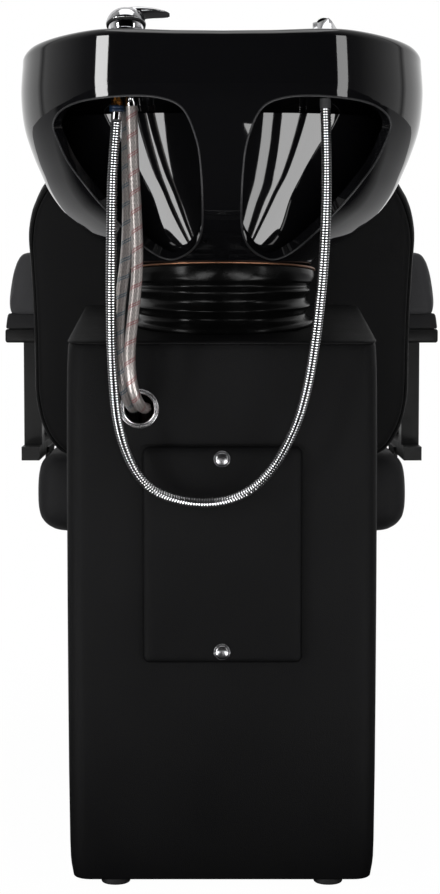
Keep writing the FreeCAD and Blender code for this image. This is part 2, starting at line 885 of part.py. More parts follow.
def tap_lever():
    """A domed cap over the stem, with a paddle towards the middle of the bowl."""
    pivot = tap_pivot()
    dome = Part.makeSphere(tap_top - pivot_height, pivot)
    skirt_low = rim_height + tap_body_height + lever_skirt_gap
    reach = tap_radius * 2
    keep = box(tap_x - reach, tap_x + reach, tap_y - reach, tap_y + reach, skirt_low, tap_top)
    dome = dome.common(keep)
    tip_x = tap_x + lever_reach
    top = tap_top - lever_thickness
    crest = top + lever_thickness / 2
    paddle_outline = [V(tap_x, tap_y, top - lever_rise), V(tip_x, tap_y, top),
                      V(tip_x, tap_y, crest), V(tap_x, tap_y, crest)]
    paddle = Part.Face(Part.makePolygon(paddle_outline + paddle_outline[:1]))
    paddle = paddle.extrude(FORWARD * lever_width).translated(FORWARD * (-lever_width / 2))
    paddle = rounded(paddle, lever_thickness / 4, lambda e: along(e, RIGHT))
    cap = dome.fuse(paddle)
    cap = cap.cut(Part.makeSphere(tap_cavity_radius, pivot))
    cap = cap.cut(side_relief(pivot))
    hole = rod(tap_pin_radius + running_slip, pivot - FORWARD * reach, pivot + FORWARD * reach)
    return tap_tilted(cap.cut(hole)).removeSplitter()


def side_relief(pivot):
    """What the cap leaves open on its far side, so that the lever can lift."""
    reach = tap_radius * 2
    wedge = [(0, 0), (-reach, tap_radius), (-reach, -reach), (0, -reach)]
    corners = [pivot + V(x, -reach, z) for x, z in wedge]
    return Part.Face(Part.makePolygon(corners + corners[:1])).extrude(FORWARD * reach * 2)


def tap_lock_nut():
    top = V(tap_x, tap_y, rim_height - deck_thickness)
    nut = hexagon(tap_nut_radius, tap_nut, top - UP * tap_nut)
    return nut.cut(rod(tap_shank_radius, top - UP * tap_nut, top))


def outlet_fitting():
    """Brass nut and collar that the shower hose hangs from."""
    low = V(outlet_x, seat_y(outlet_depth), hose_fit_bottom - outlet_collar)
    tube = rod(outlet_tube_radius, low, V(low.x, low.y, tap_shank_end))
    collar = Part.makeCylinder(hose_radius + hose_rib_depth, outlet_collar, low)
    return tube.fuse([hexagon(outlet_nut_radius, outlet_nut, low), collar]).removeSplitter()


def hose_ferrules():
    pair = []
    for x, depth in ((hot_x, hot_depth), (cold_x, cold_depth)):
        low = V(x, seat_y(depth), hose_fit_bottom)
        tube = rod(ferrule_tube_radius, low, V(x, low.y, tap_shank_end))
        pair.append(tube.fuse(Part.makeCylinder(ferrule_radius, ferrule_length, low)).removeSplitter())
    return Part.makeCompound(pair)


# Shower
def shower_holder():
    deck = V(holder_x, holder_y, rim_height)
    flange = Part.makeCylinder(holder_radius, holder_flange, deck)
    flange = rounded(flange, holder_flange / 2, lambda e: e.Closed and e.BoundBox.ZMin > rim_height)
    shank = rod(holder_shank_radius, V(holder_x, holder_y, guide_bottom + guide_height), deck)
    body = flange.fuse(shank)
    body = body.cut(rod(holder_bore, V(holder_x, holder_y, guide_bottom), deck + UP * holder_flange))
    socket_floor = rim_height - holder_socket_depth
    body = body.cut(rod(holder_socket, V(holder_x, holder_y, socket_floor), deck + UP * holder_flange))
    return body.removeSplitter()


def holder_lock_nut():
    top = V(holder_x, holder_y, rim_height - deck_thickness)
    nut = hexagon(holder_nut_radius, holder_nut, top - UP * holder_nut)
    return nut.cut(rod(holder_shank_radius, top - UP * holder_nut, top))


def hose_guide():
    low = V(holder_x, holder_y, guide_bottom)
    profile = [(holder_bore, 0), (guide_radius, 0), (guide_radius, guide_height / 2),
               (holder_shank_radius, guide_height), (holder_bore, guide_height)]
    return turned(profile, low)


def grip_axis():
    drop = math.radians(shower_grip_drop_deg)
    return V(0, math.cos(drop), -math.sin(drop))


def shower_head_centre():
    bend = V(holder_x, holder_y + shower_bend_depth, shower_neck_height)
    return bend + grip_axis() * (shower_grip_length + shower_head_radius)


def shower_head_axis():
    """The way the spray leaves the head."""
    drop = math.radians(shower_grip_drop_deg)
    return V(0, -math.sin(drop), -math.cos(drop))


def hand_shower():
    seat = V(holder_x, holder_y, rim_height - holder_socket_depth + soft_gap)
    elbow = V(holder_x, holder_y, shower_neck_height)
    bend = elbow + FORWARD * shower_bend_depth
    end = bend + grip_axis() * shower_grip_length
    tail = rod(shower_tail_radius, seat, elbow)
    grip = Part.makeCone(shower_neck_radius, shower_grip_radius, shower_grip_length, bend, grip_axis())
    axis = shower_head_axis()
    centre = shower_head_centre()
    half = axis * (shower_head_thickness / 2)
    head = rod(shower_head_radius, centre - half, centre + half)
    head = rounded(head, shower_head_thickness / 3, lambda e: e.Closed and e.CenterOfMass.z > centre.z)
    collar = rod(shower_grip_radius - running_slip, end, centre)
    joints = [Part.makeSphere(shower_neck_radius, elbow), rod(shower_neck_radius, elbow, bend),
              Part.makeSphere(shower_neck_radius, bend)]
    pocket = rod(spray_face_radius, centre + axis * (shower_head_thickness / 2 - spray_face_thickness),
                 centre + axis * shower_head_thickness)
    return tail.fuse(joints + [grip, collar, head]).cut(pocket).removeSplitter()


def spray_face():
    axis = shower_head_axis()
    outer = shower_head_centre() + axis * (shower_head_thickness / 2)
    face = rod(spray_face_radius, outer - axis * spray_face_thickness, outer)
    holes = []
    for ring in (1, 2):
        for i in range(strainer_holes):
            turn = 2 * math.pi * i / strainer_holes
            way = RIGHT * math.cos(turn) + grip_axis() * math.sin(turn)
            start = outer + way * (spray_face_radius * ring / 3)
            holes.append(rod(tap_pin_radius / 2, start - axis * spray_face_thickness / 2, start + axis))
    return face.cut(Part.makeCompound(holes))


def hose_tail():
    """The stretch of hose inside the holder, which the hand shower draws up."""
    top = V(holder_x, holder_y, rim_height - holder_socket_depth)
    return rod(hose_radius, V(holder_x, holder_y, guide_bottom + soft_gap), top + UP * soft_gap)


# Cords
def route_edges(route):
    """Straight runs joined by tangent arcs, each as large as its runs allow."""
    points = [V(x, seat_y(depth), z) for x, depth, z in route]
    edges = []
    radii = []
    start = points[0]
    for before, corner, after in zip(points, points[1:], points[2:]):
        back = (before - corner).normalize()
        on = (after - corner).normalize()
        setback = route_bend_share * min((before - corner).Length, (after - corner).Length)
        half_turn = (math.pi - back.getAngle(on)) / 2
        radii.append(setback / math.tan(half_turn))
        entry = corner + back * setback
        leave = corner + on * setback
        bisector = (back + on).normalize()
        to_centre = radii[-1] / math.cos(half_turn)
        middle = corner + bisector * (to_centre - radii[-1])
        edges.append(Part.LineSegment(start, entry).toShape())
        edges.append(Part.Arc(entry, middle, leave).toShape())
        start = leave
    edges.append(Part.LineSegment(start, points[-1]).toShape())
    return edges, radii


def cord_tube(route, radius, name):
    edges, radii = route_edges(route)
    spine = Part.Wire(edges)
    first = edges[0].tangentAt(edges[0].FirstParameter)
    ring = Part.Wire(Part.Circle(edges[0].Vertexes[0].Point, first, radius).toShape())
    tube = spine.makePipeShell([ring], True, False)
    ideal = math.pi * radius * radius * spine.Length
    print(name, "length", round(spine.Length), "least radius", round(min(radii)),
          "radii", [round(r) for r in radii], "volume ratio", round(tube.Volume / ideal, 4))
    return tube


def route_frames(edges, distances):
    """Point and direction at each distance along the route."""
    frames = []
    index = 0
    covered = 0
    for distance in distances:
        while index < len(edges) - 1 and covered + edges[index].Length < distance:
            covered += edges[index].Length
            index += 1
        edge = edges[index]
        parameter = edge.getParameterByLength(min(distance - covered, edge.Length))
        frames.append((edge.valueAt(parameter), edge.tangentAt(parameter)))
    return frames


def ribbed_hose():
    """The shower hose's wound steel strip, as ribs along the whole route, with its bore."""
    edges, radii = route_edges(shower_hose_route)
    length = sum(edge.Length for edge in edges)
    pitch = (length - 2 * hose_cuff) / hose_ribs
    valley = hose_radius - hose_rib_depth
    rib_shares = [(0.0, valley), (0.25, hose_radius), (0.7, hose_radius), (0.95, valley)]
    stations = [(0, hose_radius), (hose_cuff - pitch / 10, hose_radius)]
    for rib in range(hose_ribs):
        stations += [(hose_cuff + pitch * (rib + share), radius) for share, radius in rib_shares]
    stations += [(length - hose_cuff, hose_radius), (length, hose_radius)]
    frames = route_frames(edges, [distance for distance, radius in stations])
    rings = []
    for (point, tangent), (distance, radius) in zip(frames, stations):
        circle = Part.Circle(point, tangent, radius)
        circle.XAxis = FORWARD.cross(tangent).cross(tangent).normalize() * -1
        rings.append(Part.Wire(circle.toShape()))
    outside = Part.makeLoft(rings, True, True)
    bore = cord_tube(shower_hose_route, hose_bore, "shower_hose_bore")
    print("shower_hose length", round(length), "least radius", round(min(radii)))
    return outside.cut(bore)


def union_nut(route):
    x, depth, z = route[-1]
    low = V(x, seat_y(depth), z - soft_gap - union_nut_length)
    nut = hexagon(union_nut_radius, union_nut_length, low)
    return nut.cut(rod(union_thread_radius, low, low + UP * union_thread_length))


# Soft pieces
def pad_section(place, half_width, low, high, bulge, crown):
    """A closed section with bowed sides and a crowned top; place maps (across, up) to a point."""
    middle = (low + high) / 2
    corners = [place(-half_width, low), place(half_width, low),
               place(half_width, high), place(-half_width, high)]
    edges = [Part.LineSegment(corners[0], corners[1]).toShape(),
             Part.Arc(corners[1], place(half_width + bulge, middle), corners[2]).toShape(),
             Part.Arc(corners[2], place(0, high + crown), corners[3]).toShape(),
             Part.Arc(corners[3], place(-half_width - bulge, middle), corners[0]).toShape()]
    return Part.Wire(edges)


def seat_cushion():
    start = seat_y(seat_back)
    length = seat_front_y - start
    # Share of the length, share of the drawn-in side, share of the crown, share of the end's pinch
    station_shares = [(0.0, 0.0, 0.25, 1.0), (0.025, 0.02, 0.4, 0.5), (0.075, 0.1, 0.6, 0.19),
                      (0.18, 0.45, 0.85, 0.03), (0.5, 1.0, 1.0, 0.0), (0.82, 0.45, 0.85, 0.03),
                      (0.925, 0.1, 0.6, 0.19), (0.975, 0.02, 0.4, 0.5), (1.0, 0.0, 0.25, 1.0)]
    sections = []
    for y_share, draw_share, crown_share, pinch_share in station_shares:
        y = start + length * y_share
        half = seat_half_width - seat_side_bulge - seat_draw * draw_share - seat_bevel * pinch_share
        pinch = seat_end_pinch * pinch_share

        def place(across, up, y=y):
            return V(across, y, up)
        sections.append(pad_section(place, half, seat_base_height, seat_edge_height - pinch,
                                    seat_side_bulge, seat_crown * crown_share))
    cushion = Part.makeLoft(sections, True)
    pocket = box(-seat_frame_half_width, seat_frame_half_width, start + seat_frame_inset,
                 seat_front_y - seat_frame_inset, seat_base_height - cut_overrun,
                 seat_base_height + seat_board + seat_frame_height)
    cushion = cushion.cut(pocket)
    for hole in seat_side_holes() + seat_rear_holes():
        cushion = cushion.cut(hole)
    return cushion


def tab_bolt_places():
    middle = (seat_y(arm_rear) + seat_y(arm_front)) / 2
    height = rail_bottom - tab_drop * (1 - tab_bolt_share)
    return [V(0, middle + side * tab_length * tab_bolt_share, height) for side in (-1, 1)]


def seat_side_holes():
    reach = RIGHT * (arm_outer_x + cut_overrun)
    return [rod(bolt_radius + slip, place - reach, place + reach) for place in tab_bolt_places()]


def seat_bolt_end():
    """How far the rear bolts run in from the seat's back, to the inside of the frame's rear rail."""
    return FORWARD * (seat_frame_inset + seat_rail)


def seat_rear_holes():
    back = FORWARD * cut_overrun
    return [rod(bolt_radius + slip, place - back, place + seat_bolt_end()) for place in bracket_seat_places()]


def seat_board_part():
    start = seat_y(seat_back) + seat_frame_inset
    return box(-seat_frame_half_width, seat_frame_half_width, start, seat_front_y - seat_frame_inset,
               seat_base_height, seat_base_height + seat_board)


def seat_frame():
    low = seat_base_height + seat_board
    start = seat_y(seat_back) + seat_frame_inset
    end = seat_front_y - seat_frame_inset
    half = seat_frame_half_width
    ring = box(-half, half, start, end, low, low + seat_frame_height)
    ring = ring.cut(box(-half + seat_rail, half - seat_rail, start + seat_rail, end - seat_rail, low,
                        low + seat_frame_height))
    for hole in seat_side_holes() + seat_rear_holes():
        ring = ring.cut(hole)
    return ring


def plinth_sides():
    half = plinth_width / 2
    side = box(half - board, half, front_y, seat_y(plinth_front), foot_height, seat_base_height)
    return both_sides(side)


def plinth_front_board():
    half = plinth_width / 2 - board
    face_y = seat_y(plinth_front)
    return box(-half, half, face_y - board, face_y, foot_height, seat_base_height)


def plinth_feet():
    x = plinth_width / 2 - foot_inset
    y = seat_y(plinth_front) - foot_inset
    return feet([(-x, y), (x, y)])


# Arms
def arm_board_part():
    plank = box(arm_inner_x, arm_outer_x, seat_y(arm_rear), seat_y(arm_front), arm_board_height,
                arm_board_height + arm_board)
    return rounded(plank, arm_board / 5, lambda e: True)


def arm_pad():
    start = seat_y(arm_rear)
    length = seat_y(arm_front) - start
    low = arm_board_height + arm_board
    middle_x = (arm_inner_x + arm_outer_x) / 2
    half = (arm_outer_x - arm_inner_x) / 2 - slip
    shoulder = low + arm_band
    rise = arm_crown_height - shoulder
    # Share of the length, share of the width, share of the pad's rise
    station_shares = [(0.0, 0.86, 0.36), (0.03, 0.92, 0.62), (0.09, 0.95, 0.84), (0.2, 0.96, 0.97),
                      (0.5, 0.94, 1.0), (0.8, 0.96, 0.94), (0.93, 0.93, 0.78), (1.0, 0.86, 0.36)]
    side_share = 0.52
    bulge_share = 0.06
    sections = []
    for y_share, width_share, rise_share in station_shares:
        y = start + length * y_share
        width = half * width_share * (1 - bulge_share)
        height = rise * rise_share

        def place(across, up, y=y):
            return V(middle_x + across, y, up)
        sections.append(pad_section(place, width, shoulder, shoulder + height * side_share,
                                    half * bulge_share, height * (1 - side_share)))
    bolster = Part.makeLoft(sections, True)
    band = box(middle_x - half, middle_x + half, start, start + length, low, shoulder)
    band = rounded(band, arm_band / 4, lambda e: along(e, UP))
    return bolster.fuse(band)


def arm_post_places():
    return [seat_y(arm_rear) + arm_post_inset, seat_y(arm_front) - arm_post_inset - arm_post_depth]


def arm_frame():
    places = arm_post_places()
    rail_top = rail_bottom + rail_height
    frame = box(arm_post_inner_x, arm_post_outer_x - slip, places[0] - rail_overhang,
                places[1] + arm_post_depth, rail_bottom, rail_top)
    posts = [box(arm_post_inner_x, arm_post_outer_x, y, y + arm_post_depth, rail_top - rail_height / 2,
                 arm_board_height) for y in places]
    middle = (seat_y(arm_rear) + seat_y(arm_front)) / 2
    tab_inner = seat_half_width + soft_gap
    tab = box(tab_inner, tab_inner + tab_thickness, middle - tab_length / 2, middle + tab_length / 2,
              rail_bottom - tab_drop, rail_bottom + rail_height / 2)
    frame = frame.fuse(posts + [tab]).removeSplitter()
    for hole in seat_side_holes():
        frame = frame.cut(hole)
    return frame


def arm_bolts():
    """Bolts through each arm's tab and the seat's side into the seat frame."""
    bolts = []
    tab_outer = seat_half_width + soft_gap + tab_thickness
    for place in tab_bolt_places():
        seat = place + RIGHT * tab_outer
        shank = rod(bolt_radius, place + RIGHT * (seat_frame_half_width - seat_rail), seat)
        bolt = shank.fuse(hexagon(bolt_head_radius, bolt_head, seat, RIGHT))
        bolts += [bolt, mirrored(bolt)]
    return Part.makeCompound(bolts)


# Backrest, drawn upright with its rear face on y = 0, then leaned
def lean(shape):
    turned_back = shape.rotated(ORIGIN, RIGHT, back_lean_deg)
    return turned_back.translated(V(0, seat_y(back_bottom_depth), back_bottom))


def back_outline(half_width, low, high, y, draw):
    """A closed outline with large lower corners, smaller upper ones and drawn-in sides."""
    spread_share = (high - low) / back_length
    r0 = back_corner_low * spread_share
    r1 = back_corner_high * spread_share
    diagonal = 1 - math.cos(math.radians(45))
    right = [V(half_width - r0, y, low), V(half_width - r0 * diagonal, y, low + r0 * diagonal),
             V(half_width, y, low + r0), V(half_width - draw, y, (low + high) / 2),
             V(half_width, y, high - r1), V(half_width - r1 * diagonal, y, high - r1 * diagonal),
             V(half_width - r1, y, high)]
    left = [V(-p.x, p.y, p.z) for p in reversed(right)]
    edges = []
    for side in (right, left):
        for i in (0, 2, 4):
            edges.append(Part.Arc(side[i], side[i + 1], side[i + 2]).toShape())
    edges.insert(3, Part.LineSegment(right[-1], left[0]).toShape())
    edges.append(Part.LineSegment(left[-1], right[0]).toShape())
    return Part.Wire(edges)


def back_panel_part():
    inset = back_boxing / 2
    wire = back_outline(back_half_width - inset, inset, back_length - inset, 0, back_draw)
    panel = Part.Face(wire).extrude(FORWARD * back_panel)
    for place in back_bolt_places():
        mouth = place - FORWARD * cut_overrun
        panel = panel.cut(rod(bolt_radius + slip, mouth, place + FORWARD * back_panel))
    return lean(panel)


def back_cushion_part():
    """Stations from the boxing's rear edge, out over its widest girth, to the crowned front."""
    # Share of the depth, share of the boxing that stands proud
    station_shares = [(0.0, 0.35), (0.2, 0.85), (0.5, 1.0), (0.78, 0.6), (0.92, -1.0), (1.0, -3.6),
                      (1.06, -7.0), (1.1, -11.0)]
    wires = []
    for depth_share, proud_share in station_shares:
        proud = back_boxing * proud_share
        shrink_share = 1 + 2 * proud / back_length
        wires.append(back_outline(back_half_width + proud, -proud, back_length + proud,
                                  back_panel + back_cushion * depth_share, back_draw * shrink_share))
    return lean(Part.makeLoft(wires, True))


def back_bolt_places():
    heights = [bracket_rise * share for share in back_bolt_shares]
    return [V(side * bracket_x, 0, h) for side in (-1, 1) for h in heights]


def back_brackets():
    """Cranked flat bars from the seat frame's rear up behind the backrest."""
    slope = math.tan(math.radians(back_lean_deg))
    low_y = seat_y(seat_back) - soft_gap
    back_y = seat_y(back_bottom_depth)
    rise = bracket_rise
    t = bracket_thickness
    face = [(low_y, bracket_low), (low_y, bracket_jog_height - t), (back_y, back_bottom),
            (back_y - slope * rise, back_bottom + rise)]
    outer = [(y - t, z) for y, z in reversed(face)]
    bar = side_profile(face + outer, bracket_x - bracket_width / 2, bracket_x + bracket_width / 2)
    pair = both_sides(bar)
    for place in back_bolt_places():
        pair = pair.cut(lean(rod(bolt_radius + slip, place - FORWARD * cut_overrun, place + FORWARD * t)))
    for place in bracket_seat_places():
        pair = pair.cut(rod(bolt_radius + slip, place - FORWARD * cut_overrun, place + FORWARD * t))
    return pair


def bracket_seat_places():
    height = seat_base_height + seat_board + seat_frame_height / 2
    return [V(side * bracket_x, seat_y(seat_back), height) for side in (-1, 1)]


def back_bolts():
    bolts = []
    for place in back_bolt_places():
        seat = place - FORWARD * (bracket_thickness + soft_gap)
        shank = rod(bolt_radius, seat, place + FORWARD * back_panel)
        bolts.append(lean(shank.fuse(hexagon(bolt_head_radius, bolt_head, seat, FORWARD * -1))))
    for place in bracket_seat_places():
        seat = place - FORWARD * (bracket_thickness + soft_gap)
        shank = rod(bolt_radius, seat, place + seat_bolt_end())
        bolts.append(shank.fuse(hexagon(bolt_head_radius, bolt_head, seat, FORWARD * -1)))
    return Part.makeCompound(bolts)


def main():
    os.makedirs("parts", exist_ok=True)
    save("pedestal_shell", pedestal_shell())
    save("pedestal_top", pedestal_top())
    save("pedestal_base_board", base_board())
    save("mounting_board", mounting_board())
    save("pedestal_feet", pedestal_feet())
    save("access_panel", access_panel())
    save("panel_screws", panel_screws())
    save("panel_caps", panel_caps())
    save("hose_grommet", hose_grommet())
    save("lower_tilt_bracket", lower_tilt_bracket())
    save("lower_bracket_bolts", lower_bolts())
    save("tilt_pins", tilt_pins())
    save("tilt_nuts", tilt_nuts())
    save("friction_washers", friction_washers())
    save("bellows", bellows())
    save("waste_hose", waste_hose())
    save("waste_outlet", waste_outlet())
    save("plinth_sides", plinth_sides())
    save("plinth_front", plinth_front_board())
    save("plinth_feet", plinth_feet())
    save("seat_board", seat_board_part())
    save("seat_frame", seat_frame())
    save("seat_cushion", seat_cushion())
    save("back_panel", back_panel_part())
    save("back_cushion", back_cushion_part())
    save("back_brackets", back_brackets())
    save("back_bolts", back_bolts())
    save("arm_bolts", arm_bolts())
    for name, maker in (("arm_frame", arm_frame), ("arm_board", arm_board_part), ("arm_pad", arm_pad)):
        piece = maker()
        save(name + "_right", piece)
        save(name + "_left", mirrored(piece))
    save("bowl", bowl())
    save("basin", basin())
    save("upper_tilt_bracket", upper_tilt_bracket())
    save("bowl_bolts", bowl_bolts())
    save("bowl_nuts", bowl_nuts())
    save("drain_flange", drain_flange_part())
    save("drain_nut", drain_nut_part())
    save("drain_tailpiece", tailpiece())
    save("hair_strainer", hair_strainer())
    save("tap_body", tap_body())
    save("tap_lock_nut", tap_lock_nut())
    save("tap_stem", tap_stem())
    save("tap_lever", tap_lever())
    save("outlet_fitting", outlet_fitting())
    save("hose_ferrules", hose_ferrules())
    save("shower_holder", shower_holder())
    save("holder_lock_nut", holder_lock_nut())
    save("hose_guide", hose_guide())
    save("hand_shower", hand_shower())
    save("spray_face", spray_face())
    save("hose_tail", hose_tail())
    save("shower_hose", ribbed_hose())
    save("hot_hose", cord_tube(hot_hose_route, braid_radius, "hot_hose"))
    save("cold_hose", cord_tube(cold_hose_route, braid_radius, "cold_hose"))
    save("hot_union_nut", union_nut(hot_hose_route))
    save("cold_union_nut", union_nut(cold_hose_route))


main()
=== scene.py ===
# Looks of a salon backwash unit: a black glazed bowl on an upholstered pedestal, joined to an armchair.
# Metres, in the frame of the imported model: X across, +Y towards the sitter's feet, Z up.
import math
from bisect import bisect_right
import bpy
from mathutils import Matrix, Vector


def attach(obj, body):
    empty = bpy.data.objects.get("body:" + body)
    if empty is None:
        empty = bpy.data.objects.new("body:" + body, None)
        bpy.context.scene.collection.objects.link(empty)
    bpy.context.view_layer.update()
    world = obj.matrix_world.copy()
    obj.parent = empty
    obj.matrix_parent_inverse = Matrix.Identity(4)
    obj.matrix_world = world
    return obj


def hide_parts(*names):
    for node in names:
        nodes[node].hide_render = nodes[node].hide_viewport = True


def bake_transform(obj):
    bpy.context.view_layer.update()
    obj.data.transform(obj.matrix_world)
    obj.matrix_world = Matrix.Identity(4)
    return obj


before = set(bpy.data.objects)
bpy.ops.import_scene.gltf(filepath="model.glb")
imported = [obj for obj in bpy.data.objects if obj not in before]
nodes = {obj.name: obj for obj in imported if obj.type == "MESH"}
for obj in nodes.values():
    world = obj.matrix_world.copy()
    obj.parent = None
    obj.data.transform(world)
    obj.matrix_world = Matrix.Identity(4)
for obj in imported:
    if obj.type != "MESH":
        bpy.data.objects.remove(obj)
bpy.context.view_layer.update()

# Sizes that the looks share with the solids
rear_y = -0.46
neck_y = -0.31
rim_height = 0.945
neck_height = 0.7
bowl_rear_y = -0.55
rim_front_y = -0.02
rim_widest_y = -0.355
ceramic = 0.012
pedestal_half = 0.173
pedestal_front_y = -0.115
foot_height = 0.007
top_back_height = 0.617
top_slope = math.tan(math.radians(6.4))
top_pad = 0.0045
pedestal_corner = 0.02
grommet_spot = (-0.092, rear_y, 0.542)
screw_heights = (0.4865, 0.2705)
back_lean = math.radians(8.6)
back_height = 0.4
back_draw = 0.002
arm_middle = 0.266
arm_start = 0.112
arm_end = 0.49
arm_base = 0.637
tap_spot = (-0.104, -0.49)
tub_floor = 0.752


def mix(a, b, share):
    return a + (b - a) * share


def ease(share):
    share = min(1.0, max(0.0, share))
    return share * share * (3 - 2 * share)


def curve_through(table, at):
    """The value at a place in a table of (place, value) rows, on a smooth curve through them."""
    last = len(table) - 1
    i = 0
    while i < last - 1 and table[i + 1][0] < at:
        i += 1

    def steepness(k):
        return (table[k + 1][1] - table[k][1]) / (table[k + 1][0] - table[k][0])

    def slope(k):
        if k in (0, last):
            return steepness(min(k, last - 1))
        before, after = steepness(k - 1), steepness(k)
        return 0 if before * after <= 0 else 2 * before * after / (before + after)

    step = table[i + 1][0] - table[i][0]
    t = min(1.0, max(0.0, (at - table[i][0]) / step))
    a, b = table[i][1], table[i + 1][1]
    return (a * (1 + 2 * t) * (1 - t) ** 2 + b * t * t * (3 - 2 * t)
            + slope(i) * step * t * (1 - t) ** 2 - slope(i + 1) * step * t * t * (1 - t))


# Modelling by hand
def deselect():
    if bpy.context.mode != "OBJECT":
        bpy.ops.object.mode_set(mode="OBJECT")
    bpy.ops.object.select_all(action="DESELECT")


def begin(name, add, **settings):
    """Add a primitive under a name, alone in the selection."""
    deselect()
    add(**settings)
    piece = bpy.context.object
    piece.name = name
    piece.data.name = name
    return piece


def pick(piece):
    deselect()
    bpy.context.view_layer.objects.active = piece
    piece.select_set(True)


def edit(piece, mode="VERT"):
    pick(piece)
    bpy.ops.object.mode_set(mode="EDIT")
    bpy.ops.mesh.select_mode(type=mode)
    bpy.ops.mesh.select_all(action="DESELECT")
    bpy.ops.object.mode_set(mode="OBJECT")


def work(tool, **settings):
    """Run one edit-mode operator on what is selected."""
    bpy.ops.object.mode_set(mode="EDIT")
    tool(**settings)
    bpy.ops.object.mode_set(mode="OBJECT")


def settle(piece):
    """Put the piece's place, turn and size into its mesh."""
    pick(piece)
    bpy.ops.object.transform_apply(location=True, rotation=True, scale=True)


def finish_with(piece, kind, **settings):
    """Add a modifier and apply it."""
    pick(piece)
    modifier = piece.modifiers.new(kind.title(), kind)
    for key, value in settings.items():
        setattr(modifier, key, value)
    bpy.ops.object.modifier_apply(modifier=modifier.name)


def smooth(piece, degrees=None):
    pick(piece)
    if degrees is None:
        bpy.ops.object.shade_smooth()
    else:
        bpy.ops.object.shade_smooth_by_angle(angle=math.radians(degrees))


def work_all(piece, tool, **settings):
    """Run one edit-mode operator on the whole mesh."""
    edit(piece)
    work(bpy.ops.mesh.select_all, action="SELECT")
    work(tool, **settings)


def merge(piece):
    work_all(piece, bpy.ops.mesh.remove_doubles, threshold=1e-5)


def outward(piece):
    work_all(piece, bpy.ops.mesh.normals_make_consistent, inside=False)


def cut_faces(piece, unwanted):
    """Delete the faces that a test picks by their middle."""
    edit(piece, "FACE")
    for face in piece.data.polygons:
        face.select = unwanted(face.center)
    work(bpy.ops.mesh.delete, type="FACE")


def rolled(name, around, rows, place):
    """A grid rolled up round an axis: place(turn, along) takes two shares, along from first row to last."""
    piece = begin(name, bpy.ops.mesh.primitive_grid_add, x_subdivisions=around, y_subdivisions=rows, size=2)
    for vertex in piece.data.vertices:
        vertex.co = place((vertex.co.x + 1) / 2, (vertex.co.y + 1) / 2)
    merge(piece)
    return piece


def turned(name, profile, base, axis=(0, 0, 1), around=48):
    """Spin a profile of (radius, height) points about an axis through base."""
    piece = begin(name, bpy.ops.mesh.primitive_circle_add, vertices=len(profile), radius=1)
    for vertex, (radius, height) in zip(piece.data.vertices, profile):
        vertex.co = (radius, 0, height)
    work_all(piece, bpy.ops.mesh.spin, steps=around, angle=2 * math.pi, center=(0, 0, 0), axis=(0, 0, 1))
    merge(piece)
    outward(piece)
    piece.matrix_world = Matrix.Translation(base) @ Vector(axis).to_track_quat("Z", "Y").to_matrix().to_4x4()
    settle(piece)
    return piece


def block(name, low, high, bevel=0.0):
    """A box between two corners, its edges rounded by a bevel."""
    middle = [(a + b) / 2 for a, b in zip(low, high)]
    piece = begin(name, bpy.ops.mesh.primitive_cube_add, size=1, location=middle)
    piece.scale = [b - a for a, b in zip(low, high)]
    settle(piece)
    if bevel:
        finish_with(piece, "BEVEL", width=bevel, segments=3, limit_method="ANGLE")
    return piece


def hold(piece, body, slot, finish, *replaced):
    """Give a piece its finish and the body that it rides on; its slot is not used."""
    piece.data.materials.clear()
    piece.data.materials.append(finish)
    if body:
        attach(piece, body)
    if replaced:
        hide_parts(*replaced)
    return piece


def turned_piece(name, profile, base, axis, around, crease, *held):
    """A turned piece with its creases kept, and what hold takes."""
    piece = turned(name, profile, base, axis, around)
    smooth(piece, crease)
    return hold(piece, *held)


# Finishes
class Wire:
    """A socket; sums on it add Math nodes."""

    def __init__(self, finish, socket):
        self.finish = finish
        self.socket = socket

    def sum(self, operation, a, b=0.0):
        return self.finish.node("ShaderNodeMath", {"operation": operation}, {0: a, 1: b})

    def __add__(self, other):
        return self.sum("ADD", self, other)

    def __radd__(self, other):
        return self.sum("ADD", other, self)

    def __sub__(self, other):
        return self.sum("SUBTRACT", self, other)

    def __rsub__(self, other):
        return self.sum("SUBTRACT", other, self)

    def __mul__(self, other):
        return self.sum("MULTIPLY", self, other)

    def __rmul__(self, other):
        return self.sum("MULTIPLY", other, self)

    def __mod__(self, other):
        return self.sum("FLOORED_MODULO", self, other)

    def below(self, limit):
        return self.sum("LESS_THAN", self, limit)

    def above(self, limit):
        return self.sum("GREATER_THAN", self, limit)

    def sine(self):
        return self.sum("SINE", self)


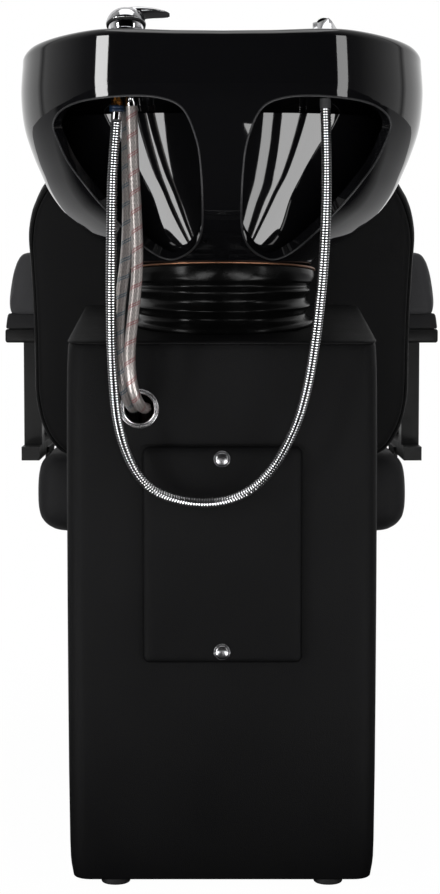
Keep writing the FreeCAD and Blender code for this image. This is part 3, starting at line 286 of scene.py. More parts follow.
class Finish:
    """A material, or the world, and the nodes that make it."""

    def __init__(self, name, owner=None, **constants):
        self.owner = owner or bpy.data.materials.new(name)
        self.owner.use_nodes = True
        self.tree = self.owner.node_tree
        self.shader = None
        if owner is None:
            self.shader = self.tree.nodes["Principled BSDF"]
            self.set(**constants)

    def put(self, socket, value):
        if isinstance(value, Wire):
            self.tree.links.new(value.socket, socket)
        elif hasattr(value, "__len__") and len(value) == 3 and len(socket.default_value) == 4:
            socket.default_value = (*value, 1.0)
        else:
            socket.default_value = value

    def node(self, kind, settings=None, sockets=None, output=0):
        made = self.tree.nodes.new(kind)
        for key, value in (settings or {}).items():
            if key == "stops":
                ramp = made.color_ramp
                while len(ramp.elements) < len(value):
                    ramp.elements.new(0.5)
                for element, (place, grey) in zip(ramp.elements, value):
                    element.position = place
                    element.color = (*(grey if hasattr(grey, "__len__") else (grey,) * 3), 1)
            else:
                setattr(made, key, value)
        for key, value in (sockets or {}).items():
            self.put(made.inputs[key], value)
        return Wire(self, made.outputs[output])

    def place(self):
        return self.node("ShaderNodeTexCoord", output="Object")

    def pattern_map(self):
        """The piece's own map: a share of the turn, and a share of the length."""
        split = self.node("ShaderNodeTexCoord", output="UV")
        return (self.node("ShaderNodeSeparateXYZ", None, {0: split}, 0),
                self.node("ShaderNodeSeparateXYZ", None, {0: split}, 1))

    def noise(self, scale, detail=3.0, rough=0.5, where=None):
        return self.node("ShaderNodeTexNoise", None, {"Vector": where or self.place(), "Scale": scale,
                                                      "Detail": detail, "Roughness": rough})

    def ramp(self, value, *stops):
        return self.node("ShaderNodeValToRGB", {"stops": stops}, {0: value})

    def blend(self, share, a, b):
        return self.node("ShaderNodeMix", {"data_type": "RGBA"}, {0: share, 6: a, 7: b}, 2)

    def bump(self, height, distance, strength=1.0):
        self.set(Normal=self.node("ShaderNodeBump", None, {"Height": height, "Distance": distance,
                                                           "Strength": strength}))

    def set(self, **sockets):
        for socket, value in sockets.items():
            self.put(self.shader.inputs[socket.replace("_", " ")], value)


def leather(name, colour, rough=0.46, grain=760.0, depth=0.00035, sheen=0.07):
    """Black coated fabric: pebbled grain, finer pores, and a broad unevenness in its sheen."""
    made = Finish(name, Specular_IOR_Level=sheen)
    pebbles = made.node("ShaderNodeTexVoronoi", {"feature": "DISTANCE_TO_EDGE"},
                        {"Vector": made.place(), "Scale": grain, "Randomness": 0.9})
    pores = made.noise(grain * 2.6, 2.0)
    broad = made.noise(9.0, 4.0, 0.55)
    worn = made.noise(55.0, 3.0)
    made.bump(made.ramp(pebbles, (0.0, 0.0), (0.25, 1.0)) * 0.7 + pores * 0.5 + worn * 0.8, depth, 0.55)
    lighter = [c * 1.55 + 0.0015 for c in colour]
    made.set(Base_Color=made.blend(broad, colour, lighter),
             Roughness=made.ramp(broad * 0.7 + worn * 0.3, (0.3, rough - 0.06), (0.7, rough + 0.07)))
    return made.owner


def glaze():
    """Gloss black glaze over clay, with a faint orange-peel and a few dull specks."""
    made = Finish("black_glaze", Base_Color=(0.0035, 0.0035, 0.004), IOR=1.5, Specular_IOR_Level=0.5)
    peel = made.noise(34.0, 1.0)
    specks = made.ramp(made.noise(420.0, 1.0), (0.7, 0.0), (0.78, 1.0))
    made.set(Roughness=made.ramp(made.noise(6.0, 3.0), (0.35, 0.022), (0.7, 0.045)) + specks * 0.05)
    made.bump(peel, 0.00012, 0.1)
    return made.owner


def chrome(name="polished_chrome", colour=(0.83, 0.83, 0.85), rough=0.05):
    """Plated metal with wiped streaks and a dull film here and there."""
    made = Finish(name, Metallic=1.0)
    wipe = made.noise(90.0, 4.0)
    dull = made.ramp(made.noise(14.0, 4.0), (0.35, rough), (0.75, rough + 0.07))
    made.set(Base_Color=made.blend(wipe, colour, [c * 0.9 for c in colour]), Roughness=dull)
    return made.owner


def rubber(name, colour, rough, shine=0.3):
    """Rubber or plastic with a dull bloom."""
    made = Finish(name, Specular_IOR_Level=shine)
    bloom = made.noise(40.0, 4.0)
    made.set(Base_Color=made.blend(bloom, colour, [c * 1.8 + 0.002 for c in colour]),
             Roughness=made.ramp(bloom, (0.3, rough - 0.07), (0.75, rough + 0.12)))
    made.bump(made.noise(700.0, 2.0), 0.0001, 0.35)
    return made.owner


def painted(name, colour, rough=0.42):
    """Powder coat with its fine orange-peel."""
    made = Finish(name, Specular_IOR_Level=0.15)
    made.set(Base_Color=made.blend(made.noise(25.0), colour, [c * 1.5 + 0.001 for c in colour]),
             Roughness=made.ramp(made.noise(60.0), (0.3, rough - 0.06), (0.7, rough + 0.08)))
    made.bump(made.noise(1300.0, 2.0), 0.00012, 0.4)
    return made.owner


def plywood():
    """Raw board with a drawn-out grain."""
    made = Finish("raw_plywood", Roughness=0.75)
    streaks = made.node("ShaderNodeMapping", None, {"Vector": made.place(), "Scale": (3.0, 40.0, 3.0)})
    figure = made.noise(3.0, 6.0, 0.6, streaks)
    made.set(Base_Color=made.blend(figure, (0.28, 0.17, 0.085), (0.55, 0.4, 0.24)))
    made.bump(figure, 0.0004, 0.4)
    return made.owner


def metal(name, colour, rough, brushing=160.0):
    """Plated or turned metal with fine tool marks and blotches."""
    made = Finish(name, Metallic=1.0)
    marks = made.noise(brushing, 6.0, 0.7)
    made.set(Base_Color=made.blend(marks, [c * 0.72 for c in colour], colour),
             Roughness=made.ramp(marks, (0.3, rough - 0.08), (0.7, rough + 0.12)))
    made.bump(marks, 0.0001, 0.3)
    return made.owner


def braid(name, tracer, turns, length, first):
    """Bright wire braid with a pair of coloured yarns that wind round the hose."""
    made = Finish(name)
    turn, along = made.pattern_map()
    strands, full_turn = 12.0, 6.2832
    crossings, overlaps = length / 0.0052, length / 0.0026
    right = (turn * strands + along * crossings) % 1.0
    left = (turn * strands - along * crossings) % 1.0
    strand = (right * full_turn).sine() * 0.5 + 0.5
    cross = (left * full_turn).sine() * 0.5 + 0.5
    over = ((turn * strands + along * overlaps) % 1.0).below(0.5)
    weave_and_shade = strand * over + cross * (1.0 - over)
    wound = (along * turns - turn + first) % 1.0
    yarns = wound.below(0.065) + wound.above(0.125) * wound.below(0.19)
    yarn = yarns * (0.75 + 0.25 * over)
    # The steel colour follows the weave, dark between the strands and light on their crests: painted shade.
    steel = made.blend(weave_and_shade, (0.14, 0.13, 0.127), (0.46, 0.42, 0.4))
    made.set(Base_Color=made.blend(yarn, steel, tracer), Metallic=0.55 - yarns * 0.5,
             Roughness=0.34 - weave_and_shade * 0.08 + yarns * 0.2)
    made.bump(weave_and_shade, 0.00016, 0.5)
    return made.owner


def wound_strip(name, ribs):
    """Bright wound strip with painted shade in the joints between its turns."""
    made = Finish(name)
    along = made.pattern_map()[1]
    phase = (along * (4.0 * ribs + 3.0) - 2.0) * 0.25 % 1.0
    # The joints turn near-black, matt and non-metal: painted shade in the grooves between the turns.
    joint = phase.below(0.28) + phase.above(0.72)
    made.set(Base_Color=made.blend(joint, (0.44, 0.44, 0.45), (0.008, 0.008, 0.009)),
             Metallic=1.0 - joint, Roughness=made.ramp(made.noise(60.0), (0.3, 0.1), (0.7, 0.16)) + joint * 0.6)
    return made.owner


upholstery = leather("black_upholstery", (0.003, 0.003, 0.0032), 0.48, 760.0, 0.00035, 0.05)
# Lighter copies of the black upholstery for the seat, the arm bands and the arm bolsters: painted light.
lit_seat_leather = leather("lit_seat_upholstery", (0.012, 0.012, 0.0126))
lit_arm_leather = leather("lit_arm_upholstery", (0.03, 0.03, 0.0315))
panel_leather = leather("panel_upholstery", (0.0028, 0.0028, 0.003), 0.5, 760.0, 0.00035, 0.045)
# Near-black leather for the back's piping, and for the band round the access panel, where it is painted shadow.
dark_leather = leather("seam_and_shadow_upholstery", (0.0016, 0.0016, 0.0017), 0.62)
black_glaze = glaze()
bright_chrome = chrome()
tap_chrome = chrome("tap_chrome", (0.46, 0.46, 0.47), 0.06)
satin_chrome = chrome("satin_chrome", (0.6, 0.6, 0.61), 0.24)
cap_chrome = chrome("cap_chrome", (0.36, 0.36, 0.37), 0.21)
# Lighter grey for the window lips: a painted highlight along the cut edges of the bowl.
lip_highlight_paint = painted("painted_lip_highlight", (0.016, 0.016, 0.017), 0.3)
bellows_rubber = rubber("bellows_rubber", (0.0012, 0.0012, 0.0012), 0.2, 0.1)
foot_plastic = rubber("moulded_plastic", (0.012, 0.012, 0.012), 0.5)
# Dark rubber for the friction washers, and for the ring under the tap's cap, where it is painted shade.
washer_and_shade_rubber = rubber("washer_and_shade_rubber", (0.01, 0.01, 0.01), 0.6)
drain_plastic = rubber("drain_plastic", (0.32, 0.32, 0.33), 0.5)
frame_paint = painted("frame_powder_coat", (0.009, 0.009, 0.009))
arm_board_paint = painted("arm_board_coat", (0.0025, 0.0025, 0.0025), 0.5)
ply = plywood()
zinc = metal("zinc_plate", (0.62, 0.62, 0.64), 0.32)
turned_brass = metal("turned_brass", (0.34, 0.14, 0.03), 0.26, 240.0)
blue_seal = painted("blue_seal", (0.002, 0.008, 0.022), 0.4)
bronze = metal("bronze_bead", (0.2, 0.1, 0.06), 0.34, 120.0)


# Camera where the photograph was taken from
def photo_camera():
    deselect()
    bpy.ops.object.camera_add(location=(-0.0022, -2.76, 0.672), rotation=(math.radians(90 - 4.3), 0, 0))
    camera = bpy.context.object
    camera.data.sensor_width = 36.0
    camera.data.lens = 83.36
    bpy.context.scene.camera = camera


# Hoses: each route is across, depth behind the pedestal's back, height, in metres
shower_hose_route = [
    (-0.114, -0.036, 0.8654), (-0.119, -0.037, 0.812), (-0.12, -0.039, 0.75), (-0.121, -0.041, 0.67),
    (-0.12, -0.041, 0.59), (-0.114, -0.038, 0.516), (-0.088, -0.036, 0.459), (-0.044, -0.035, 0.4405),
    (0.004, -0.035, 0.4395), (0.048, -0.035, 0.464), (0.08, -0.035, 0.519), (0.095, -0.036, 0.57),
    (0.104, -0.037, 0.632), (0.111, -0.037, 0.705), (0.114, -0.036, 0.78), (0.1135, -0.032, 0.84),
    (0.112, -0.03, 0.8804)]
hot_hose_route = [
    (-0.098, -0.036, 0.8716), (-0.097, -0.036, 0.826), (-0.094, -0.037, 0.768), (-0.091, -0.04, 0.704),
    (-0.096, -0.045, 0.65), (-0.101, -0.051, 0.606), (-0.099, -0.048, 0.572), (-0.092, -0.034, 0.549),
    (-0.0865, -0.01, 0.5425), (-0.0854, 0.018, 0.542), (-0.0854, 0.046, 0.539), (-0.086, 0.072, 0.524),
    (-0.088, 0.09, 0.494), (-0.09, 0.097, 0.454), (-0.0905, 0.099, 0.408), (-0.09, 0.1, 0.364)]
cold_hose_route = [
    (-0.103, -0.0205, 0.8716), (-0.104, -0.02, 0.826), (-0.103, -0.019, 0.77), (-0.104, -0.019, 0.716),
    (-0.111, -0.022, 0.668), (-0.114, -0.028, 0.622), (-0.1105, -0.0305, 0.585), (-0.1055, -0.024, 0.557),
    (-0.0998, -0.005, 0.5435), (-0.0986, 0.018, 0.542), (-0.0986, 0.046, 0.54), (-0.101, 0.074, 0.527),
    (-0.107, 0.094, 0.497), (-0.112, 0.101, 0.456), (-0.1135, 0.103, 0.409), (-0.114, 0.104, 0.364)]


def route_line(name, route):
    """Points along the smooth line that a route's points control."""
    curve = bpy.data.curves.new(name, "CURVE")
    curve.dimensions = "3D"
    curve.resolution_u = 24
    spline = curve.splines.new("NURBS")
    spline.points.add(len(route) - 1)
    for point, (x, depth, z) in zip(spline.points, route):
        point.co = (x, rear_y + depth, z, 1)
    spline.order_u = 3
    spline.use_endpoint_u = True
    carrier = bpy.data.objects.new(name, curve)
    bpy.context.scene.collection.objects.link(carrier)
    mesh = bpy.data.meshes.new_from_object(carrier)
    line = [vertex.co.copy() for vertex in mesh.vertices]
    bpy.data.objects.remove(carrier)
    bpy.data.meshes.remove(mesh)
    return line


def last_up_to(reach, goal):
    """The span of a list of rising distances that a distance falls in."""
    return min(max(bisect_right(reach, goal) - 1, 0), len(reach) - 2)


def walk(line):
    """A function from distance along a line to the point there and its direction, and the length."""
    reach = [0.0]
    for a, b in zip(line, line[1:]):
        reach.append(reach[-1] + (b - a).length)

    def at(distance):
        low = last_up_to(reach, distance)
        span = reach[low + 1] - reach[low]
        share = min(1.0, max(0.0, (distance - reach[low]) / span))
        before = line[max(0, low - 1)]
        after = line[min(len(line) - 1, low + 2)]
        return line[low].lerp(line[low + 1], share), (after - before).normalized()
    return at, reach[-1]


def hose(name, line, stations, sides=20, crease=60):
    """A tube round a line; stations are (distance, radius) rows from one end to the other."""
    at = walk(line)[0]
    frames = []
    side = Vector((0, 1, 0))
    for distance, radius in stations:
        point, along = at(distance)
        side = (side - along * side.dot(along)).normalized()
        frames.append((point, side.copy(), along.cross(side), radius))
    last = len(stations) - 1

    def place(turn, along):
        point, a, b, radius = frames[round(along * last)]
        angle = 2 * math.pi * turn
        return point + (a * math.cos(angle) + b * math.sin(angle)) * radius

    piece = rolled(name, sides, last, place)
    edit(piece, "EDGE")
    work(bpy.ops.mesh.select_non_manifold)
    work(bpy.ops.mesh.edge_face_add)
    smooth(piece, crease)
    return piece


def spiral_shower_hose():
    """Wound steel strip: a rounded rib each turn, and a plain cuff at each end."""
    line = route_line("shower_hose_line", shower_hose_route)
    length = walk(line)[1]
    radius = 0.006
    cuff = 0.01
    pitch = 0.0029
    ribs = int((length - 2 * cuff) / pitch)
    pitch = (length - 2 * cuff) / ribs
    rib = [(0.0, 0.0049), (0.2, 0.0057), (0.5, radius), (0.8, 0.0057)]
    stations = [(0.0, radius), (cuff - pitch / 3, radius)]
    for i in range(ribs):
        stations += [(cuff + pitch * (i + share), r) for share, r in rib]
    stations += [(length - cuff, radius), (length, radius)]
    piece = hose("spiral_shower_hose", line, stations, 20, 32)
    hold(piece, None, "chrome", wound_strip("wound_hose_strip", ribs), "shower_hose")
    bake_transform(piece)
    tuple(line[0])


def braided_hose(name, route, node, tracer, first):
    """Supply hose; first is where its coloured yarns start, as a share of a turn."""
    line = route_line(name + "_line", route)
    length = walk(line)[1]
    radius, step, yarn_lead = 0.00625, 0.0022, 0.0205
    steps = int(length / step)
    stations = [(length * i / steps, radius) for i in range(steps + 1)]
    piece = hose(name, line, stations, 24)
    finish = braid(name + "_braid", tracer, length / yarn_lead, length, first)
    hold(piece, None, "steel_braid", finish, node)
    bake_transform(piece)
    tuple(line[0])


def ribbed_waste_hose():
    """Soft ribbed pipe with a plain cuff over the tail above and the outlet below."""
    low, high = 0.088, 0.656
    bore, groove, rounded, outside = 0.018, 0.0193, 0.0205, 0.021
    cuff, ribbed, roll = 0.024, 0.026, 0.0008
    ribs, rings = 64, 48
    pitch = (high - low - 2 * ribbed) / ribs
    rib = [(0.0, groove), (0.3, 0.0208), (0.55, outside), (0.8, rounded)]
    profile = [(bore, low), (rounded, low), (outside, low + roll), (outside, low + cuff)]
    for i in range(ribs):
        profile += [(r, low + ribbed + pitch * (i + share)) for share, r in rib]
    profile += [(groove, high - ribbed), (outside, high - cuff), (outside, high - roll), (rounded, high)]
    profile += [(bore, mix(high, low, i / rings)) for i in range(rings)]
    piece = turned_piece("ribbed_waste_hose", profile, (0, neck_y, 0), (0, 0, 1), 32, 50,
                         None, "waste_plastic", drain_plastic, "waste_hose")
    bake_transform(piece)


# Bowl
bowl_flare = [(0.0, 0.0), (0.035, 0.045), (0.09, 0.19), (0.165, 0.42), (0.27, 0.64),
              (0.4, 0.79), (0.56, 0.89), (0.78, 0.965), (1.0, 1.0)]
basin_flare = [(0.0, 0.0), (0.03, 0.2), (0.1, 0.42), (0.24, 0.66), (0.48, 0.85), (0.75, 0.95), (1.0, 1.0)]
window_shares = [(0.0, 0.72), (0.012, 0.43), (0.045, 0.25), (0.13, 0.08), (0.28, 0.015),
                 (0.51, 0.0), (0.79, 0.02), (0.94, 0.07), (1.0, 0.15), (0.97, 0.25),
                 (0.9, 0.39), (0.8, 0.52), (0.68, 0.66), (0.52, 0.82), (0.36, 0.95),
                 (0.22, 1.0), (0.09, 0.95), (0.02, 0.86)]


def outline_point(shape, angle):
    """A point on a rounded outline: half width, rear, front, widest, power."""
    half, rear, front, widest, power = shape
    c, s = math.cos(angle), math.sin(angle)
    reach = front - widest if s > 0 else widest - rear
    return (half * math.copysign(abs(c) ** (2 / power), c),
            widest + reach * math.copysign(abs(s) ** (2 / power), s))


def even_angles(shape, count=1440):
    """Angles for equal steps along an outline."""
    points = [outline_point(shape, 2 * math.pi * i / count) for i in range(count + 1)]
    reach = [0.0]
    for a, b in zip(points, points[1:]):
        reach.append(reach[-1] + math.dist(a, b))

    def angle(turn):
        goal = turn * reach[-1]
        low = last_up_to(reach, goal)
        return 2 * math.pi * (low + (goal - reach[low]) / (reach[low + 1] - reach[low])) / count
    return angle


def mixed(a, b, share):
    return [mix(p, q, share) for p, q in zip(a, b)]


neck_ring = [0.105, neck_y - 0.105, neck_y + 0.105, neck_y, 2.0]
rim_half = 0.231
rim_ring = [rim_half, bowl_rear_y, rim_front_y, rim_widest_y, 2.35]
basin_ring = [0.196, -0.432, -0.054, rim_widest_y + ceramic, 2.5]
floor_ring = [0.062, neck_y - 0.062, neck_y + 0.062, neck_y, 2.0]
drain_ring = [0.0202, neck_y - 0.0202, neck_y + 0.0202, neck_y, 2.0]


# Height and how much wider the shell swells at its sides there
side_swell = [(0.7, 1.0), (0.8, 1.0), (0.823, 1.008), (0.857, 1.021), (0.8916, 1.0126), (0.914, 1.0),
              (0.937, 0.986), (0.95, 0.982)]


def shell_shape(z):
    shape = mixed(neck_ring, rim_ring, curve_through(bowl_flare, (z - neck_height) / (rim_height - neck_height)))
    return [shape[0] * curve_through(side_swell, z)] + shape[1:]


def shrunk(shape, by):
    half, rear, front, widest, power = shape
    return [half - by, rear + by, front - by, widest, power]


def bowl_rows():
    """Outlines from the neck's bore out and up the shell, over the rim and deck, and down the basin."""
    rows = [(shrunk(neck_ring, inset), neck_height) for inset in (0.045, 0.032, 0.018, 0.007)]
    rows += [(shrunk(neck_ring, 0.002), neck_height + 0.0012)]
    roll = 0.0085
    shell_top = rim_height - roll
    count = 52
    for i in range(count + 1):
        z = mix(neck_height + 0.0042, shell_top, (i / count) ** 1.12)
        rows.append((shell_shape(z), z))
    for i in range(1, 7):
        turn = math.pi / 2 * i / 6
        ring = shrunk(shell_shape(shell_top), roll * (1 - math.cos(turn)))
        rows.append((ring, shell_top + roll * math.sin(turn)))
    deck_edge = shrunk(shell_shape(shell_top), roll)
    lip = 0.013
    lip_edge = shrunk(basin_ring, -lip)
    rows += [(mixed(deck_edge, lip_edge, share), rim_height) for share in (0.06, 0.2, 0.4, 0.6, 0.8, 0.94, 1.0)]
    for i in range(1, 7):
        turn = math.pi / 2 * i / 6
        rows.append((shrunk(basin_ring, -lip * (1 - math.sin(turn))), rim_height - lip * (1 - math.cos(turn))))
    count = 30
    top = rim_height - lip
    for i in range(1, count + 1):
        share = 1 - (i / count) ** 0.85
        z = mix(tub_floor, top, share)
        rows.append((mixed(floor_ring, basin_ring, curve_through(basin_flare, share)), z))
    rows += [(mixed(floor_ring, drain_ring, share), tub_floor) for share in (0.12, 0.3, 0.55, 0.8, 1.0)]
    return rows


def notch_drop(x, y, z):
    """Lower the front of the rim for a neck to rest in."""
    start, half, depth = 0.86, 0.078, 0.03
    if y < rim_widest_y or z < start:
        return z
    depth *= ease((half - abs(x)) / 0.066)
    return z - depth * ease((z - start) / 0.075)


# Distance from the middle and how far the rear rim rises there
rim_rise = [(0.0, -0.0006), (0.05, 0.0002), (0.08, 0.0018), (0.11, 0.0038), (0.14, 0.0047), (0.18, 0.0048),
            (0.205, 0.0044), (0.225, 0.002), (0.24, 0.0)]


def rim_lift(x, y, z):
    """Raise a low bead along the rear rim, and let the rim fall away at the sides."""
    high = ease((z - 0.895) / 0.045)
    edge = on_shell(x, min(z, rim_height - 0.009))
    bead = 0.0032 * ease((0.21 - abs(x)) / 0.09) + curve_through(rim_rise, abs(x))
    near = ease((0.03 - (y - edge.y)) / 0.014) if y < rim_widest_y else 0.0
    return z + high * (bead * near - 0.0085 * (abs(x) / rim_half) ** 5)


def window_line(side):
    """A dense closed line round one window, as (across, height) points."""
    post_half, width, top, height = 0.021, 0.164, 0.88, 0.172
    points = [(side * (post_half + width * a), top - height * d) for a, d in window_shares]
    count = len(points)
    line = []
    for i in range(count):
        p0, p1, p2, p3 = (Vector(points[(i + k - 1) % count]) for k in range(4))
        for step in range(10):
            t = step / 10
            line.append(0.5 * (2 * p1 + (p2 - p0) * t + (2 * p0 - 5 * p1 + 4 * p2 - p3) * t * t
                               + (3 * p1 - p0 - 3 * p2 + p3) * t ** 3))
    return line


def inside(point, line):
    hit = False
    for a, b in zip(line, line[1:] + line[:1]):
        if (a.y > point.y) != (b.y > point.y):
            if point.x < (b.x - a.x) * (point.y - a.y) / (b.y - a.y) + a.x:
                hit = not hit
    return hit


def nearest(point, line):
    best = None
    for a, b in zip(line, line[1:] + line[:1]):
        along = b - a
        t = min(1.0, max(0.0, (point - a).dot(along) / along.length_squared))
        spot = a + along * t
        if best is None or (spot - point).length_squared < (best - point).length_squared:
            best = spot
    return best


def on_shell(x, z):
    """The point on the bowl's rear outside at a place across and a height."""
    half, rear, _, widest, power = shell_shape(z)
    share = max(0.0, 1 - min(1.0, abs(x) / half) ** power)
    return Vector((x, widest - (widest - rear) * share ** (1 / power), z))


def open_windows(piece):
    """Cut both windows in the rear shell, and draw the mesh along their edges."""
    lines = [window_line(-1), window_line(1)]

    def on_rear(co):
        return co.y < rim_widest_y + 0.02 and 0.7005 < co.z < 0.915 and abs(co.x) < 0.205 \
            and (co - on_shell(co.x, co.z)).length < 0.004

    def beside(spot):
        return lines[0] if spot.x < 0 else lines[1]

    def in_window(middle):
        spot = Vector((middle.x, middle.z))
        return on_rear(middle) and inside(spot, beside(spot))

    cut_faces(piece, in_window)
    uses = {}
    near = {}
    for face in piece.data.polygons:
        for key in face.edge_keys:
            uses[key] = uses.get(key, 0) + 1
    for a, b in uses:
        near.setdefault(a, []).append(b)
        near.setdefault(b, []).append(a)
    vertices = piece.data.vertices
    edge = {i for key, count in uses.items() if count == 1 for i in key if on_rear(vertices[i].co)}
    ring = set(edge)
    for _ in range(3):
        ring |= {j for i in ring for j in near[i] if on_rear(vertices[j].co)}
    for _ in range(14):
        moved = {}
        for i in ring:
            around = [vertices[j].co for j in near[i] if i not in edge or j in edge]
            middle = sum(around, Vector()) / max(1, len(around))
            flat = Vector((middle.x, middle.z))
            if i in edge:
                flat = nearest(flat, beside(flat))
            moved[i] = on_shell(flat.x, flat.y)
        for i, spot in moved.items():
            vertices[i].co = spot


def glazed_bowl():
    """Bowl and basin in one skin, cut for the windows and thickened."""
    rows = bowl_rows()
    angle = even_angles(rim_ring)
    last = len(rows) - 1

    def place(turn, along):
        shape, z = rows[round(along * last)]
        x, y = outline_point(shape, angle(turn % 1.0) if turn < 1 else 0.0)
        return Vector((x, y, notch_drop(x, y, rim_lift(x, y, z))))

    piece = rolled("glazed_bowl", 216, last, place)
    open_windows(piece)
    finish_with(piece, "SOLIDIFY", thickness=ceramic, offset=-1.0, use_quality_normals=True)
    hold(piece, "bowl", "glaze", black_glaze, "bowl", "basin")
    finish_with(piece, "BEVEL", width=0.0022, segments=3, limit_method="ANGLE", angle_limit=math.radians(48))
    smooth(piece)
    finish_with(piece, "WEIGHTED_NORMAL", weight=100)


def basin_underside():
    """The tub's outside behind the windows: its sides follow the tub, its rear slopes down to the neck,
    and it ends before the tub's open inside."""
    top, low, front = 0.868, 0.706, -0.268
    # Height and half width
    sides = [(0.706, 0.09), (0.72, 0.104), (0.735, 0.1165), (0.752, 0.1295), (0.775, 0.1465), (0.8, 0.1668),
             (0.84, 0.1848), (0.868, 0.1925)]
    angle = even_angles(rim_ring)

    def place(turn, along):
        z = mix(low, top, along)
        widest = mix(neck_y, rim_widest_y + ceramic, along)
        half = curve_through(sides, z)
        shape = [half, mix(-0.398, -0.462, along), widest + half, widest, mix(2.0, 2.5, along)]
        x, y = outline_point(shape, angle(turn % 1.0) if turn < 1 else 0.0)
        return Vector((x, y, z))

    piece = rolled("basin_underside", 160, 40, place)
    cut_faces(piece, lambda middle: middle.y > front)
    finish_with(piece, "SOLIDIFY", thickness=0.0015, offset=-1.0)
    smooth(piece, 60)
    hold(piece, "bowl", "glaze", black_glaze)


# Bellows between the pedestal's sloping top and the bowl's neck
def bellows_sleeve():
    """Folded rubber sleeve in one fixed shape."""
    # Share of the height and radius: a foot flange, two sharp folds, and a plain collar
    ribs = [(0.0, 0.107), (0.02, 0.1082), (0.07, 0.1084), (0.1, 0.1072), (0.125, 0.103)]
    folds, first, last = 2, 0.125, 0.66
    for i in range(folds):
        base = mix(first, last, i / folds)
        step = (last - first) / folds
        ribs += [(base + step * s, r) for s, r in
                 ((0.16, 0.099), (0.34, 0.0982), (0.56, 0.101), (0.76, 0.104), (0.84, 0.1047), (0.92, 0.104))]
    ribs += [(0.675, 0.1012), (0.7, 0.1005), (0.725, 0.1025), (0.75, 0.1055), (0.8, 0.1074), (0.87, 0.1086),
             (0.94, 0.109), (0.985, 0.1084), (0.997, 0.1066)]
    gap = 0.0003
    low = top_at(neck_y) + gap
    high = neck_height - gap
    last = len(ribs) - 1

    def place(turn, along):
        share, radius = ribs[round(along * last)]
        angle = 2 * math.pi * turn
        y = radius * math.sin(angle)
        z = mix(low, high, share) + y * top_slope * (1 - share) - (0.003 + y * 0.07) * ease((share - 0.5) / 0.5)
        return Vector((radius * math.cos(angle), neck_y + y, z))

    piece = rolled("bellows_sleeve", 96, last, place)
    finish_with(piece, "SOLIDIFY", thickness=0.003, offset=-1.0)
    finish_with(piece, "SUBSURF", levels=1, render_levels=1)
    smooth(piece)
    hold(piece, None, "rubber", bellows_rubber, "bellows")
    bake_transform(piece)


def neck_bead():
    """Bronze bead between the bowl's neck and the sleeve's collar."""
    profile = arc((0.1086, 0.0), 0.0014, 0, 330, 11)
    turned_piece("neck_bead", profile, (0, neck_y, 0.6972), (0, 0.07, 1), 128, None, "bowl", "brass", bronze)


def outlet_seal():
    """Blue sealing sleeve between the brass outlet and the shower hose's cuff."""
    profile = [(0.004, 0.866), (0.0074, 0.866), (0.0081, 0.8668), (0.0081, 0.8688), (0.0076, 0.8694),
               (0.0081, 0.87), (0.0081, 0.872), (0.0074, 0.8727), (0.004, 0.8727)]
    turned_piece("outlet_seal", profile, (-0.114, -0.496, 0), (0, 0, 1), 32, 50, "bowl", "rubber", blue_seal)


# Lofts through closed loops of points
def lofted(name, loops):
    """Skin loops of equal counts; a loop drawn to one point closes an end."""
    count = len(loops[0])
    last = len(loops) - 1

    def place(turn, along):
        return loops[round(along * last)][round(turn * count) % count]

    piece = rolled(name, count, last, place)
    outward(piece)
    return piece


def closed_ends(loops):
    """Draw each end of a run of loops to a point."""
    first, last = (sum(loops[end], Vector()) / len(loops[end]) for end in (0, -1))
    return [[first] * len(loops[0])] + loops + [[last] * len(loops[-1])]


def arc(centre, radius, start, end, count):
    """Points on an arc, from one bearing in degrees to another."""
    return [(centre[0] + radius * math.cos(math.radians(mix(start, end, i / count))),
             centre[1] + radius * math.sin(math.radians(mix(start, end, i / count)))) for i in range(count + 1)]


def stretched(points, step):
    """The same closed outline with its long straights divided."""
    line = []
    for a, b in zip(points, points[1:] + points[:1]):
        parts = max(1, round(math.dist(a, b) / step))
        line += [(mix(a[0], b[0], i / parts), mix(a[1], b[1], i / parts)) for i in range(parts)]
    return line


def rounded_box_line(low, high, radius, step=0.008):
    """A closed line round a rectangle with rounded corners."""
    (x0, y0), (x1, y1) = low, high
    points = []
    for centre, start in (((x1 - radius, y0 + radius), -90), ((x1 - radius, y1 - radius), 0),
                          ((x0 + radius, y1 - radius), 90), ((x0 + radius, y0 + radius), 180)):
        points += arc(centre, radius, start, start + 90, 6)
    return stretched(points, step)


def drawn_in(line, centre, by):
    """Move each point of a line towards a centre by a distance along each axis."""
    reach_x = max(abs(x - centre[0]) for x, y in line)
    reach_y = max(abs(y - centre[1]) for x, y in line)
    return [(centre[0] + (x - centre[0]) * (1 - by / reach_x),
             centre[1] + (y - centre[1]) * (1 - by / reach_y)) for x, y in line]


# Pedestal
def top_at(y):
    return top_back_height + (y - rear_y) * top_slope


def pucker(x, y):
    """Gathers in the cover beside the rear left end of the seam."""
    near = math.exp(-((x + 0.152) / 0.022) ** 2) if y < rear_y + 0.03 else 0.0
    return near * math.sin(x * 900) * 0.0006


pedestal_centre = (0, (rear_y + pedestal_front_y) / 2)
pedestal_line = rounded_box_line((-pedestal_half, rear_y), (pedestal_half, pedestal_front_y), pedestal_corner)


